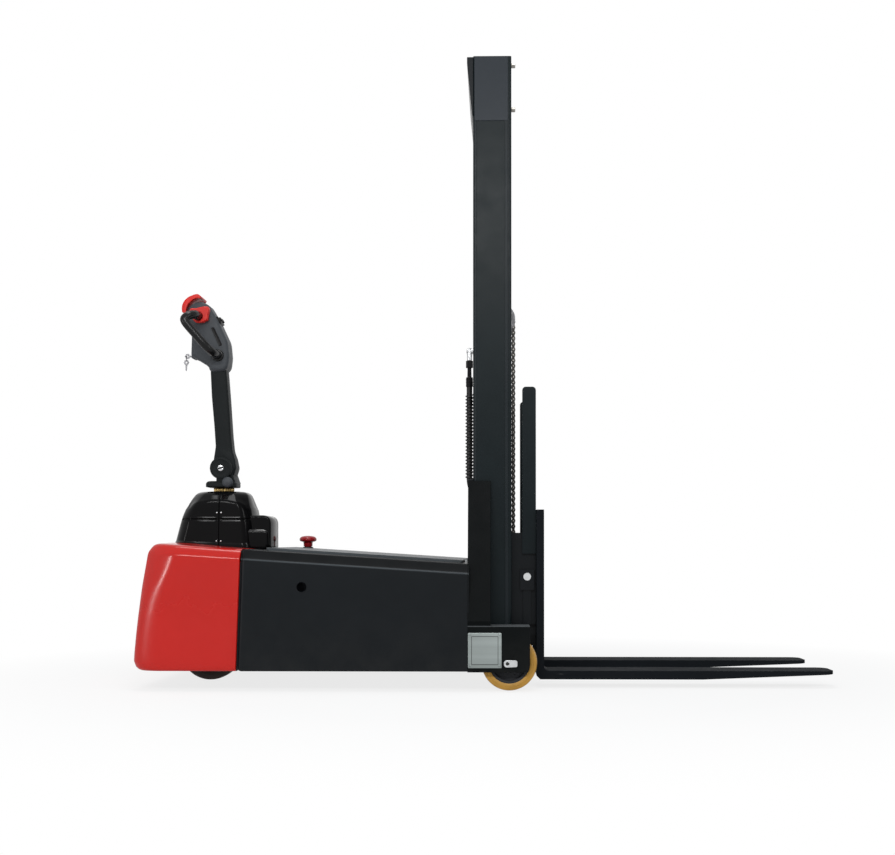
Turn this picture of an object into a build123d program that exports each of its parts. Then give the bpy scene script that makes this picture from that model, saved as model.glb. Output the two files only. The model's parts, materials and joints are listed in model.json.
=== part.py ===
from build123d import *
import math
import os

# Electric stacker: a pedestrian lift truck with a fixed mast, hung forks and a steering tiller.
# Millimetres. +X points to the fork tips, +Z up, origin on the floor under the middle of the box.

# Overall sizes
overall_length = 2280.0
overall_width = 812.0
mast_height = 2076.0
ground_clearance = 64.0

# Clearances
running = 0.05          # shaft in its bore, radial
apart = 0.3             # curved faces of pieces that move past each other
seat = 0.2              # faces of pieces that lie on each other but part later
sliding = 1.0           # flat faces that slide past each other

# Forks
fork_length = 950.0
fork_width = 140.0
fork_blade = 28.0
fork_shank = 25.0
fork_under = 28.0       # floor to the blade's underside
fork_rise = 557.0       # underside to the top of the shank
fork_tip = 11.0
fork_taper = 430.0
fork_inset = 15.0       # fork's outer edge inside the mast's outer face
heel_chamfer = 12.0
heel_fillet = 14.0

# Mast
mast_depth = 126.0
web = 10.0
flange = 12.0
flange_width = 50.0
mast_foot = 70.0        # floor to the channels' lower ends
leg_width = 110.0       # outer plate's outer face to the mast's web
lift_margin = 576.0     # mast height less the lift
head_room = 81.0        # sheave centre to the mast's top at full lift
carriage_reach = 81.0   # mast's front to the carriage's front
beam = 10.0
top_beam_depth = 20.0
top_beam_drop = 3.0      # mast's top to the beam's top
top_beam_toe = 3.0
top_beam_height = 193.0
back_plate = 16.0
back_plate_top = 685.0
back_plate_slot = 120.0
middle_beam_drop = 200.0 # cylinder gland's top to the beam's lower edge
middle_beam_height = 80.0
base_plate = 25.0
stop_bolt_hex = 16.0
stop_bolt_head = 13.0
stop_bolt_shank = 5.0
stop_bolt_drops = (24.0, 170.0)

# Lifting gear
barrel_outer = 40.0
barrel_inner = 32.0
ram_show = 35.0         # bare ram between gland and crosshead at rest
gland_outer = 44.0
gland_height = 30.0
ram_radius = 28.0
ram_engagement = 130.0  # ram left in the barrel at full lift
piston_height = 50.0
sheave_radius = 50.0    # to the middle of the chain
sheave_lip = 6.0
sheave_width = 26.0
sheave_pin = 12.0
chain_height = 14.0
chain_width = 16.0
chain_leaf = 3.0
chain_offset = 60.0     # chain's middle from the centre plane
chain_lead = 9.0        # mast's front to the middle of the chain's front run
crosshead_half = 30.0
crosshead_below = 50.0
anchor_z = 430.0        # chain's end on the carriage
anchor_bolt = 6.0
anchor_nut = 11.0
anchor_nut_height = 9.0
anchor_above_bar = 5.0  # carriage bar to the chain's end
anchor_below = 50.0     # moving leaves' lower ends to the chain's end on the mast
fixed_leaf_gap = 45.0   # top of the fixed leaves below the sheave centre

# Carriage
cheek = 15.0
cheek_bottom = 206.0
apron_low = 135.0       # lower edge of the apron below the lowest bar
cheek_top = 509.0
roller_width = 30.0
roller_pin = 17.5
roller_heights = (265.0, 450.0)
bar_depth = 38.0
bar_height = 30.0
shaft_radius = 12.5
shaft_height = 364.0
shaft_back = 29.0       # carriage front to the shaft's axis
boss_depth = 46.0
boss_height = 66.0
boss_width = 15.0
strip_width = 26.0      # strip on the cheek below the boss
lug_width = 70.0
lug_below = 46.0
lug_above = 26.0
post_depth = 45.0
post_width = 12.0
post_top = 992.0
post_foot = 440.0
rail_height = 30.0
rail_depth = 10.0
backrest_bars = 4

# Front wheels and legs
wheel_radius = 90.0
wheel_width = 56.0
wheel_rim = 66.0
hub_recess = 10.0
tyre_round = 6.0
wheel_bore = 12.5
wheel_forward = 8.0     # wheel centre behind the mast's front
plate = 8.0
leg_over_wheel = 29.0
leg_round = 66.0
leg_drop = 2.0          # leg plates below the chassis
gusset_top = 678.0
gusset_depth = 74.0
gusset_head = 12.0
keeper_thick = 6.0
keeper_ring = 4.0       # keeper's edge outside the axle
keeper_tab = 27.0
keeper_tab_half = 8.0

# Chassis
wall = 6.0
rear_top = 475.0
front_top = 409.0
rear_lean = 48.0
cover_length = 340.0
seam_lean = 14.0
bevel_drop = 40.0
bevel_in = 15.0
deck_width = 70.0       # fixed strip of the top behind the lid
rear_strip = 105.0      # seam to the opening under the lid
front_strip = 16.0      # fixed strip of the top in front of the lid
rim = 84.0              # fixed strip of the top beside the lid
lid_round = 10.0
lid_thick = 9.0
lid_overlap = 14.0
hinge_pin = 4.0
hinge_length = 60.0
hinge_knuckle = 1.5     # knuckle's wall round its pin
cover_wall = 5.0
corner_round = 90.0
cover_round = 30.0
pump_bay = 190.0
battery_top_gap = 25.0
side_gap = 12.0
hole_radius = 16.0      # round hole in each side
hole_from_seam = 210.0
hole_height = 334.0
weight_width = 170.0
weight_height = 95.0
tank_stand_off = 45.0   # front wall to the oil tank
tank_inner = 40.0       # centre plane to the tank's side
tank_above_hose = 60.0
tank_cap = 18.0
pump_length = 180.0
controller_half = 150.0
controller_height = 180.0

# Drive unit and steering
steer_from_rear = 220.0
steer_trail = 40.0      # wheel centre behind the steering axis
drive_radius = 105.0
drive_width = 70.0
drive_rim = 75.0
drive_axle = 20.0
axle_boss = 32.0
deck_z = 300.0
deck_thick = 14.0
turntable_radius = 95.0
turntable_thick = 18.0
spigot_radius = 50.0
spigot_height = 20.0
motor_radius = 75.0
motor_head_room = 100.0 # motor's top to the hood's crown
gearbox_width = 50.0
gearbox_half = 60.0
gearbox_low = 45.0
stem_radius = 20.0
collar_radius = 35.0
collar_height = 14.0
collar_gap = 6.0        # hood's top to the collar

# Hood over the drive unit
hood_rise = 173.0       # cover's top to the hood's crown
hood_rear = 69.0        # cover's rear to the hood's rear at the base
hood_base = 275.0
hood_half = 122.0
shoulder_drop = 18.0    # crown to the shoulder
shoulder_rear = 48.0    # hood's rear at the base to its rear at the shoulder
shoulder_length = 197.0
shoulder_half = 98.0
hood_crown = 158.0
hood_crown_rear = 68.0  # hood's rear at the base to its rear at the crown
hood_crown_half = 74.0
hood_wall = 4.0
hood_round = 30.0
step_length = 54.0
step_rise = 96.0
step_half = 85.0
step_round = 28.0
stem_hole = 26.0

# Tiller
pivot_rise = 44.0       # bracket's top to the pivot
pivot_pin = 10.0
ear_radius = 37.0
ear_thick = 20.0
eye_half = 41.0
eye_radius = 34.0
bracket_length = 113.0
bracket_height = 22.0
knob_radius = 12.0
knob_forward = 32.0     # steering axis to the knob on the bracket
knob_rise = 3.0
arm_width = 62.0
arm_half = 30.0
arm_height = 346.0      # pivot to the arm's top
arm_lean = 12.0
arm_wall = 6.0
head_half = 42.0
grip_radius = 14.0
grip_reach = 150.0      # centre plane to the middle of the outer grip
grip_bend = 24.0
grip_shoulder = 114.0   # centre plane to the bend at the handlebar's end
grip_foot_reach = 127.0 # centre plane to the bend at the loop's lower end
bar_place = (-79.0, 525.0)      # handlebar from the pivot, along X and up
grip_corner = (-118.0, 505.0)   # outer corner of the loop from the pivot
grip_foot = (-14.0, 392.0)      # lower end of the loop from the pivot
key_face = -106.0       # head's rear face with the key, from the pivot
head_outline = [
    (-34.0, 346.0),
    (34.0, 346.0),
    (41.0, 391.0),
    (32.0, 442.0),
    (-3.0, 513.0),
    (-42.0, 566.0),
    (-77.0, 573.0),
    (-116.0, 549.0),
    (-121.0, 534.0),
    (-99.0, 453.0),
    (-99.0, 406.0),
    (key_face, 404.0),
    (key_face, 386.0),
    (-89.0, 384.0),
    (-51.0, 363.0),
]
belly_outline = [
    (-137.0, 541.0),
    (-137.0, 571.0),
    (-77.0, 602.0),
    (-47.0, 588.0),
    (-53.0, 579.0),
    (-77.0, 590.0),
    (-127.0, 564.0),
    (-127.0, 541.0),
]
belly_half = 38.0
plunger_top = (-102.0, 578.0)
plunger_length = 45.0
button_place = (-9.5, 521.8)    # on the sloping front of the head
button_spread = 18.0
button_depth = 8.0
button_travel = 4.0
button_face = (0.855, 0.0, 0.518)
key_height = 395.0
key_bow = 13.0
key_blade = 2.0
key_depth = 20.0
key_reach = 16.0
throttle_radius = 27.0
throttle_wing = 40.0
throttle_width = 34.0
lobe_width = 20.0
lobe_places = ((0.9, 0.35), (0.75, -0.6), (-0.8, 0.6))  # in throttle radii
belly_travel = 8.0
belly_press = (0.466, 0.0, -0.885)
plunger_radius = 8.0
button_radius = 9.0
button_proud = 6.0
key_radius = 5.0

# Emergency switch on the chassis rim
stop_from_seam = 109.0
stop_stem = 15.5
stop_wall = 2.0
stop_cap = 32.0
stop_cap_height = 26.0
stop_stem_height = 27.0
stop_travel = 8.0

# Hydraulic hose on the back of the mast
hose_radius = 10.0
hose_stand_off = 18.0   # hose's middle behind the mast
ferrule_radius = 7.0
ferrule_length = 98.0
guard_wire = 2.5
guard_pitch = 12.7
guard_drop = 19.0       # ferrule to the guard's top
guard_over_plate = 20.0 # back plate's top to the guard's lower end
fitting_radius = 9.0
hose_exit_z = 255.0     # height of the hose where it enters the chassis
hose_turn_drop = 17.0   # back plate's top to the hose's turn inwards
hose_turn_fall = 56.0
hose_bends = [80.0, 80.0, 60.0]

# Data plate
data_length = 107.0
data_height = 112.0
data_low = 76.0
data_from_back = 2.0
data_thick = 1.5
rivet_radius = 3.0
rivet_proud = 2.0

# Places that follow from the sizes above
x_rear = -overall_length / 2
x_tip = overall_length / 2
half_width = overall_width / 2 - keeper_thick
mast_half = half_width - leg_width
fork_face = x_tip - fork_length
fork_back = fork_face - fork_shank
carriage_front = fork_back - sliding
mast_front = carriage_front - carriage_reach
mast_back = mast_front - mast_depth
chassis_front = mast_back - back_plate
seam_low = x_rear + cover_length
seam_high = seam_low + seam_lean
steer_x = x_rear + steer_from_rear
drive_x = steer_x - steer_trail
wheel_x = mast_front - wheel_forward
leg_top = 2 * wheel_radius + leg_over_wheel
lift = mast_height - lift_margin
stroke = lift / 2
sheave_z = mast_height - stroke - head_room
sheave_x = mast_front + chain_lead - sheave_radius
chain_front_x = sheave_x + sheave_radius
chain_back_x = sheave_x - sheave_radius
moving_low = sheave_z - stroke - fixed_leaf_gap
back_anchor_z = moving_low - anchor_below
gland_top = sheave_z - crosshead_below - ram_show
barrel_top = gland_top - gland_height
base_top = mast_foot + base_plate
channel_mouth = mast_half - flange_width
roller_x = (mast_back + mast_front) / 2
roller_radius = mast_depth / 2 - flange - sliding
cheek_outer = channel_mouth - 3 * sliding
shaft_x = carriage_front - shaft_back
cover_top_x = x_rear + rear_lean
top_slope = (rear_top - front_top) / (chassis_front - cover_top_x)
slope_angle = math.degrees(math.atan(top_slope))
lid_half = half_width - rim + lid_overlap
top_length = (chassis_front - seam_high) / math.cos(math.radians(slope_angle))
lid_front = top_length - front_strip
step_end = x_rear + hood_rear + hood_base + step_length
opening_half = lid_half - lid_overlap
leg_low = ground_clearance - leg_drop
leg_front = wheel_x + leg_round
deck_top = deck_z + deck_thick
tub_floor = ground_clearance + wall
fork_outer = mast_half - fork_inset
hood_top = rear_top + hood_rise
step_top = rear_top + step_rise
collar_low = hood_top + collar_gap
bracket_low = collar_low + collar_height
bracket_high = bracket_low + bracket_height
pivot_z = bracket_high + pivot_rise
hood_x = x_rear + hood_rear
hood_front_x = hood_x + hood_base


def top_at(x):
    """Height of the sloping top of the chassis and the rear cover at a place along X."""
    return rear_top - top_slope * (x - cover_top_x)


# Shared shapes


def block(x0, x1, y0, y1, z0, z1):
    """Box between two corners."""
    return Pos((x0 + x1) / 2, (y0 + y1) / 2, (z0 + z1) / 2) * Box(x1 - x0, y1 - y0, z1 - z0)


def rod_x(radius, x0, x1, y, z):
    """Round bar along X."""
    return Pos((x0 + x1) / 2, y, z) * Rot(0, 90, 0) * Cylinder(radius, x1 - x0)


def rod_y(radius, y0, y1, x, z):
    """Round bar along Y."""
    return Pos(x, (y0 + y1) / 2, z) * Rot(90, 0, 0) * Cylinder(radius, y1 - y0)


def rod_z(radius, z0, z1, x, y):
    """Round bar along Z."""
    return Pos(x, y, (z0 + z1) / 2) * Cylinder(radius, z1 - z0)


def side_prism(outline, y0, y1):
    """Prism whose outline is given in X and Z, between two places along Y."""
    wire = Polyline(*[(x, y0, z) for x, z in outline], close=True)
    return extrude(make_face(wire), amount=y1 - y0, dir=(0, 1, 0))


def cross_prism(outline, x0, x1):
    """Prism whose outline is given in Y and Z, between two places along X."""
    wire = Polyline(*[(x0, y, z) for y, z in outline], close=True)
    return extrude(make_face(wire), amount=x1 - x0, dir=(1, 0, 0))


def other_side(shape):
    """The same piece on the other side of the machine."""
    return mirror(shape, about=Plane.XZ)


def ring_y(outer, inner, y0, y1, x, z):
    """Flat ring about an axis along Y."""
    return rod_y(outer, y0, y1, x, z) - rod_y(inner, y0, y1, x, z)


def save(name, *pieces):
    """Write one node; its pieces stay separate solids."""
    solids = [solid for piece in pieces for solid in piece.solids()]
    shape = solids[0] if len(solids) == 1 else Compound(children=solids)
    export_step(shape, f"parts/{name}.step")


os.makedirs("parts", exist_ok=True)


# Chassis


def on_top(shape):
    """Set a piece made on a level top, with X from the seam, onto the sloping top."""
    return Pos(seam_high, 0, top_at(seam_high)) * Rot(0, slope_angle, 0) * shape


def seam_at(z):
    """Place of the leaning seam between rear cover and chassis at a height."""
    rise = (z - ground_clearance) / (top_at(seam_high) - ground_clearance)
    return seam_low + seam_lean * rise


def tub_form(inset):
    """Solid form of the chassis box, bevelled along its top, every face moved in by inset."""
    half = half_width - inset
    low = ground_clearance + inset
    sections = []
    for x in (seam_low, chassis_front - inset):
        top = top_at(x) - inset
        fold = top - bevel_drop
        points = [(-half, low), (-half, fold), (bevel_in - half, top)]
        points += [(-y, z) for y, z in reversed(points)]
        sections.append(make_face(Polyline(*[(x, y, z) for y, z in points], close=True)))
    below = 0
    above = 2 * rear_top
    behind = [(x_rear, below), (seam_at(below) + inset, below)]
    behind += [(seam_at(above) + inset, above), (x_rear, above)]
    return loft(sections, ruled=True) - side_prism(behind, -half_width, half_width)


deck_rear = cover_top_x + corner_round / 2
deck_half = half_width - cover_wall - side_gap
opening = on_top(
    block(
        rear_strip,
        lid_front - lid_overlap,
        -opening_half,
        opening_half,
        -3 * wall,
        3 * wall,
    )
)
hose_x = mast_back - hose_stand_off
hose_inner_x = mast_back + beam + hose_radius + sliding
chassis = tub_form(0) - tub_form(wall) - opening
chassis -= rod_y(hole_radius, -half_width, half_width, seam_low + hole_from_seam, hole_height)
chassis -= rod_x(2 * hose_radius, chassis_front - 2 * wall, chassis_front, 0, hose_exit_z + wall)


def plates_of(shell):
    """Plates that the chassis is welded from, cut out of its whole shell one after another."""
    above = 2 * rear_top
    behind = [(x_rear, 0), (seam_at(0) + wall, 0), (seam_at(above) + wall, above), (x_rear, above)]
    regions = [
        block(chassis_front - wall, chassis_front, -half_width, half_width, 0, above),
        side_prism(behind, -half_width, half_width),
        block(x_rear, chassis_front, -half_width, half_width, 0, tub_floor),
    ]
    for inner in (half_width - wall, opening_half):
        region = block(x_rear, chassis_front, inner, half_width, 0, above)
        regions += [region, other_side(region)]
    plates = []
    for region in regions:
        plates.append(shell & region)
        shell = shell - region
    return plates + [shell]


save("chassis_frame", *plates_of(chassis))
deck = block(deck_rear, seam_high, -deck_half, deck_half, deck_z, deck_top) - tub_form(0)
deck -= rod_z(spigot_radius + running, deck_z, deck_top, steer_x, 0)
skirt = block(deck_rear, seam_high, deck_half - plate, deck_half, ground_clearance, deck_z) - tub_form(0)
save("drive_frame", deck, skirt, other_side(skirt))

lid = block(deck_width, lid_front, -lid_half, lid_half, seat, lid_thick)
lid = fillet(lid.edges().filter_by(Axis.Z), lid_round)
hinge_x = lid_front + hinge_pin + hinge_knuckle + sliding
hinge_z = hinge_pin + hinge_knuckle + seat + apart
hinges = []
for y in (-lid_half / 2, lid_half / 2):
    leaf_y0 = y - hinge_length / 4
    leaf_y1 = y + hinge_length / 4
    lid += rod_y(hinge_pin + hinge_knuckle, leaf_y0, leaf_y1, hinge_x, hinge_z)
    lid += block(lid_front - wall, hinge_x, leaf_y0, leaf_y1, hinge_z, lid_thick)
    lid -= rod_y(hinge_pin + running, y - hinge_length, y + hinge_length, hinge_x, hinge_z)
    stand = rod_y(hinge_pin, y - hinge_length / 2, y + hinge_length / 2, hinge_x, hinge_z)
    for side in (-1, 1):
        ends = sorted((y + side * (hinge_length / 4 + sliding), y + side * hinge_length / 2))
        stand += block(hinge_x - hinge_pin, hinge_x + hinge_pin, *ends, 0, hinge_z)
    hinges.append(on_top(stand))
save("battery_lid", on_top(lid))
save("lid_hinges", *hinges)

battery_back = seam_high + rear_strip + lid_overlap
battery_front = chassis_front - pump_bay
battery_top = top_at(battery_front) - wall - battery_top_gap
battery_half = opening_half - side_gap
save("battery", block(battery_back, battery_front, -battery_half, battery_half, tub_floor, battery_top))

tank_front = chassis_front - wall - tank_stand_off
tank_back = battery_front + side_gap
tank_top = hose_exit_z + tank_above_hose
tank = block(tank_back, tank_front, -tank_inner, battery_half, tub_floor, tank_top)
tank += rod_z(tank_cap, tank_top, tank_top + tank_cap, (tank_back + tank_front) / 2, battery_half / 2)
save("oil_tank", tank)
pump_radius = (tank_front - tank_back) / 2
pump_x = (tank_front + tank_back) / 2
pump_end = pump_length - battery_half
pump = rod_y(pump_radius, -battery_half, pump_end, pump_x, tub_floor + pump_radius + seat)
pump += block(tank_back, tank_front, pump_end, -tank_inner, tub_floor, tub_floor + 2 * pump_radius)
save("pump_motor", pump)
case_top = tub_floor + controller_height
case_x0 = seam_high + 2 * wall
case_x1 = battery_back - side_gap
controller = block(case_x0, case_x1, -controller_half, controller_half, tub_floor, case_top)
save("motor_controller", controller)

stop_x = seam_high + stop_from_seam
stop_y = half_width - bevel_in - stop_stem - sliding
stop_low = top_at(stop_x)
housing_top = stop_low + stop_stem_height - stop_travel - 2 * sliding
housing = rod_z(stop_stem, stop_low - wall, housing_top, stop_x, stop_y)
housing -= tub_form(0)
housing -= rod_z(stop_stem - stop_wall + apart, 0, 2 * rear_top, stop_x, stop_y)
cap_low = stop_low + stop_stem_height
button = rod_z(stop_stem - stop_wall, stop_low + sliding + stop_travel, cap_low, stop_x, stop_y)
button += rod_z(stop_cap, cap_low, cap_low + stop_cap_height, stop_x, stop_y)
button = fillet(button.edges().filter_by(GeomType.CIRCLE).sort_by(Axis.Z)[-1], stop_cap_height / 3)
save("estop_housing", housing)
save("estop_button", button)


# Rear cover, hood and ballast


def nearest_edge(shape, place):
    """Edge whose middle lies closest to a place."""
    return min(shape.edges(), key=lambda edge: (edge.center() - Vector(*place)).length)


def cover_form(inset, low):
    """Solid form of the rear cover: leaning back, rounded rear corners and a rounded top edge."""
    half = half_width - inset
    back = x_rear + inset
    top = rear_top - inset
    chin = ground_clearance + cover_round
    outline = [(back, chin), (back + rear_lean, top)]
    outline.append((seam_high, top_at(seam_high) - inset))
    outline += [(seam_at(low), low), (back + cover_round, low)]
    form = side_prism(outline, -half, half)
    middle_x = back + rear_lean / 2
    middle_z = (chin + top) / 2
    corners = [nearest_edge(form, (middle_x, y, middle_z)) for y in (-half, half)]
    form = fillet(corners, corner_round - inset)
    rim_x = (back + seam_high + corner_round) / 2
    rims = [nearest_edge(form, (rim_x, y, top_at(rim_x) - inset)) for y in (-half, half)]
    return fillet(rims, cover_round - inset)


def hood_form(inset):
    """Solid form of the hood's dome: leaning up to its shoulder, then bevelled in to its crown."""
    shoulder_z = hood_top - shoulder_drop - inset / 2
    grow = (top_at(hood_x) - deck_top) / (shoulder_z - top_at(hood_x))
    front_lean = hood_base - shoulder_rear - shoulder_length
    low_half = hood_half + (hood_half - shoulder_half) * grow
    rows = [
        (deck_top, -shoulder_rear * grow, hood_base + front_lean * grow, low_half),
        (shoulder_z, shoulder_rear, shoulder_rear + shoulder_length, shoulder_half),
        (hood_top - inset, hood_crown_rear, hood_crown_rear + hood_crown, hood_crown_half),
    ]
    sections = []
    for z, back, front, half in rows:
        place = Pos(hood_x + (back + front) / 2, 0, z)
        outline = RectangleRounded(front - back - 2 * inset, 2 * (half - inset), hood_round)
        sections.append(place * outline)
    return loft(sections, ruled=True)


behind = 2 * x_rear
under_top = [(behind, 0), (behind, top_at(behind)), (0, top_at(0)), (0, 0)]
below_top = side_prism(under_top, -half_width, half_width)
room_half = hood_half - side_gap
room_end = min(seam_high, hood_front_x - side_gap)
drive_room = block(hood_x + side_gap, room_end, -room_half, room_half, deck_z, hood_top)
cover = cover_form(0, ground_clearance) - cover_form(cover_wall, 0) - drive_room
save("rear_cover", cover)
dome = hood_form(0) - below_top
shell = dome - hood_form(hood_wall) - rod_z(stem_hole, rear_top, 2 * hood_top, steer_x, 0)
save("hood_dome", shell)
step_back = hood_front_x - step_length
step = block(step_back, step_end, -step_half, step_half, deck_z, step_top)
step = fillet(nearest_edge(step, (step_end, 0, step_top)), step_round)
step_inner = step_half - hood_wall
inner_end = step_end - hood_wall
inner_top = step_top - hood_wall
step_room = block(step_back, inner_end, -step_inner, step_inner, 0, inner_top)
step -= fillet(nearest_edge(step_room, (inner_end, 0, inner_top)), step_round - hood_wall)
save("hood_step", step - below_top - dome)

weight_inner = deck_half - plate - weight_width
weight_x0 = deck_rear + side_gap
weight_x1 = seam_low - side_gap
weight_top = deck_top + weight_height
weight = block(weight_x0, weight_x1, weight_inner, weight_inner + weight_width, deck_top, weight_top)
save("counterweights", weight, other_side(weight))


# Legs and front wheels, made on the right and mirrored to the left


def leg_plate(y0, y1):
    """Upright plate of a leg, its lower front corner rounded about the wheel's axle."""
    upright = block(chassis_front, leg_front, y0, y1, leg_low, leg_top)
    corner = block(wheel_x, leg_front, y0, y1, leg_low, wheel_radius)
    corner -= rod_y(leg_round, y0, y1, wheel_x, wheel_radius)
    return upright - corner


def gusset_form(inset):
    """Sloping brace from the leg's top to the mast's side."""
    foot = half_width - inset
    head = mast_half + gusset_head - inset
    outline = [(-mast_half, leg_top), (-foot, leg_top), (-foot, leg_top + 2 * plate)]
    outline += [(-head, gusset_top - inset), (-mast_half, gusset_top - inset)]
    return cross_prism(outline, chassis_front + inset, chassis_front + gusset_depth - inset)


def right_leg():
    """Box round the wheel with the brace above it."""
    inner = -mast_half - plate
    outer = -half_width + plate
    leg = leg_plate(-half_width, outer) + leg_plate(inner, -mast_half)
    leg += block(chassis_front, leg_front, outer, inner, leg_top - plate, leg_top)
    leg += block(chassis_front, chassis_front + plate, outer, inner, leg_low, leg_top - plate)
    leg += gusset_form(0) - gusset_form(plate)
    return leg - rod_y(wheel_bore + running, -half_width, -mast_half, wheel_x, wheel_radius)


wheel_middle = -(mast_half + half_width) / 2
wheel_outer = wheel_middle - wheel_width / 2
wheel_inner = wheel_middle + wheel_width / 2
axle_end = -half_width - keeper_thick

leg = right_leg()
save("right_leg", leg)
save("left_leg", other_side(leg))
axle = rod_y(wheel_bore, axle_end, -mast_half, wheel_x, wheel_radius)
keeper = rod_y(wheel_bore + keeper_ring, axle_end, -half_width, wheel_x, wheel_radius)
tab_low = wheel_radius - keeper_tab_half
keeper += block(wheel_x, wheel_x + keeper_tab, axle_end, -half_width, tab_low, tab_low + 2 * keeper_tab_half)
keeper -= rod_y(wheel_bore + running, axle_end, -half_width, wheel_x, wheel_radius)

tyre = ring_y(wheel_radius, wheel_rim, wheel_outer, wheel_inner, wheel_x, wheel_radius)
tyre = fillet(tyre.edges().filter_by(GeomType.CIRCLE).sort_by(SortBy.RADIUS)[-2:], tyre_round)
hub = ring_y(wheel_rim - running, wheel_bore + running, wheel_outer, wheel_inner, wheel_x, wheel_radius)
for y in (wheel_outer, wheel_inner - hub_recess):
    hub -= ring_y(wheel_rim - plate, wheel_bore + 2 * plate, y, y + hub_recess, wheel_x, wheel_radius)
save("right_tyre", tyre)
save("left_tyre", other_side(tyre))
save("right_hub", hub)
save("left_hub", other_side(hub))
fittings = [axle, keeper]
spacer = wheel_bore + 2 * plate
for y0, y1 in ((plate - half_width, wheel_outer - seat), (wheel_inner + seat, -mast_half - plate)):
    fittings.append(ring_y(spacer, wheel_bore + running, y0, y1, wheel_x, wheel_radius))
save("front_axles", *fittings, *[other_side(piece) for piece in fittings])

data_x = chassis_front + data_from_back
data_y = -half_width - data_thick
data = block(data_x, data_x + data_length, data_y, -half_width, data_low, data_low + data_height)
rivets = []
for x in (data_x + 2 * rivet_radius, data_x + data_length - 2 * rivet_radius):
    for z in (data_low + 2 * rivet_radius, data_low + data_height - 2 * rivet_radius):
        rivets.append(rod_y(rivet_radius, data_y - rivet_proud, data_y, x, z))
save("data_plate", data, *rivets)

# Mast

channel = block(mast_back, mast_front, -mast_half, -channel_mouth, mast_foot, mast_height)
track_back = mast_back + flange
track_front = mast_front - flange
channel -= block(track_back, track_front, web - mast_half, -channel_mouth, mast_foot, mast_height)
mast_middle = (mast_foot + mast_height) / 2
bends = [nearest_edge(channel, (x, -mast_half, mast_middle)) for x in (mast_back, mast_front)]
channel = fillet(bends, flange / 2)
bolt_y = -mast_half + flange_width / 2
bolts = []
for drop in stop_bolt_drops:
    z = mast_height - drop
    channel -= rod_x(stop_bolt_shank + running, track_front, mast_front, bolt_y, z)
    head = extrude(RegularPolygon(stop_bolt_hex / 2, 6), stop_bolt_head)
    head = Pos(mast_front, bolt_y, z) * Rot(0, 90, 0) * head
    bolts.append(head + rod_x(stop_bolt_shank, track_front, mast_front, bolt_y, z))
save("mast_channels", channel, other_side(channel))
save("mast_bolts", *bolts, *[other_side(bolt) for bolt in bolts])

beam_top = mast_height - top_beam_drop
top_beam = [(mast_back, beam_top), (mast_back - top_beam_depth, beam_top)]
top_beam.append((mast_back - top_beam_depth, beam_top - top_beam_depth))
top_beam.append((mast_back - top_beam_toe, beam_top - top_beam_height))
top_beam.append((mast_back, beam_top - top_beam_height))
beams = [side_prism(top_beam, -mast_half, mast_half)]
middle_beam_z = gland_top - middle_beam_drop
middle_top = middle_beam_z + middle_beam_height
middle_x = min(mast_back + beam, chain_back_x - chain_height / 2 - 3 * sliding)
beams.append(block(mast_back, middle_x, -channel_mouth, channel_mouth, middle_beam_z, middle_top))
beams.append(block(mast_back, mast_front, -channel_mouth, channel_mouth, mast_foot, base_top))
shelf_top = back_anchor_z - 2 * anchor_bolt
shelf_low = shelf_top - flange
tie_x = min(mast_back + beam, chain_back_x - anchor_nut - sliding)
tie = block(mast_back, tie_x, -channel_mouth, channel_mouth, shelf_low - 4 * beam, shelf_top)
beams.append(tie)
shelf_y0 = chain_offset - 2 * anchor_bolt
shelf_y1 = chain_offset + 2 * anchor_bolt
shelf = block(tie_x, chain_back_x + 2 * anchor_bolt, shelf_y0, shelf_y1, shelf_low, shelf_top)
shelf -= rod_z(anchor_bolt + running, shelf_low, shelf_top, chain_back_x, chain_offset)
beams += [shelf, other_side(shelf)]
for y0, y1 in ((-mast_half, -back_plate_slot / 2), (back_plate_slot / 2, mast_half)):
    beams.append(block(chassis_front, mast_back, y0, y1, leg_top, back_plate_top))
save("mast_crossbeams", *beams)

# Lifting gear

barrel = rod_z(barrel_outer, base_top, barrel_top, sheave_x, 0)
barrel -= rod_z(barrel_inner, base_top + base_plate, barrel_top, sheave_x, 0)
save("lift_cylinder", barrel)
gland = rod_z(gland_outer, barrel_top, gland_top, sheave_x, 0)
port_x = sheave_x - gland_outer - plate
gland += block(port_x, sheave_x, -2 * plate, 2 * plate, barrel_top, gland_top)
save("cylinder_gland", gland - rod_z(ram_radius + running, barrel_top, gland_top, sheave_x, 0))
ram_foot = barrel_top - stroke - ram_engagement
crosshead_low = sheave_z - crosshead_below
ram = rod_z(ram_radius, ram_foot, crosshead_low, sheave_x, 0)
ram += rod_z(barrel_inner - apart, ram_foot, ram_foot + piston_height, sheave_x, 0)
save("lift_ram", ram)

sheave_face = chain_offset - sheave_width / 2
head_half_y = sheave_face - sliding
crosshead = block(
    sheave_x - crosshead_half,
    sheave_x + crosshead_half,
    -head_half_y,
    head_half_y,
    crosshead_low,
    sheave_z + crosshead_half,
)
pin_end = chain_offset + sheave_width / 2 + sliding
crosshead += rod_y(sheave_pin, -pin_end, pin_end, sheave_x, sheave_z)
for y in (-pin_end - plate, pin_end):
    crosshead += rod_y(2 * sheave_pin, y, y + plate, sheave_x, sheave_z)
save("crosshead", crosshead)

groove = sheave_radius - chain_height / 2 - apart
groove_y0 = chain_offset - chain_width / 2 - sliding
groove_y1 = chain_offset + chain_width / 2 + sliding
sheave = ring_y(
    sheave_radius + sheave_lip,
    sheave_pin + running,
    sheave_face,
    sheave_face + sheave_width,
    sheave_x,
    sheave_z,
)
sheave -= ring_y(2 * sheave_radius, groove, groove_y0, groove_y1, sheave_x, sheave_z)
save("sheaves", sheave, other_side(sheave))

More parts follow.
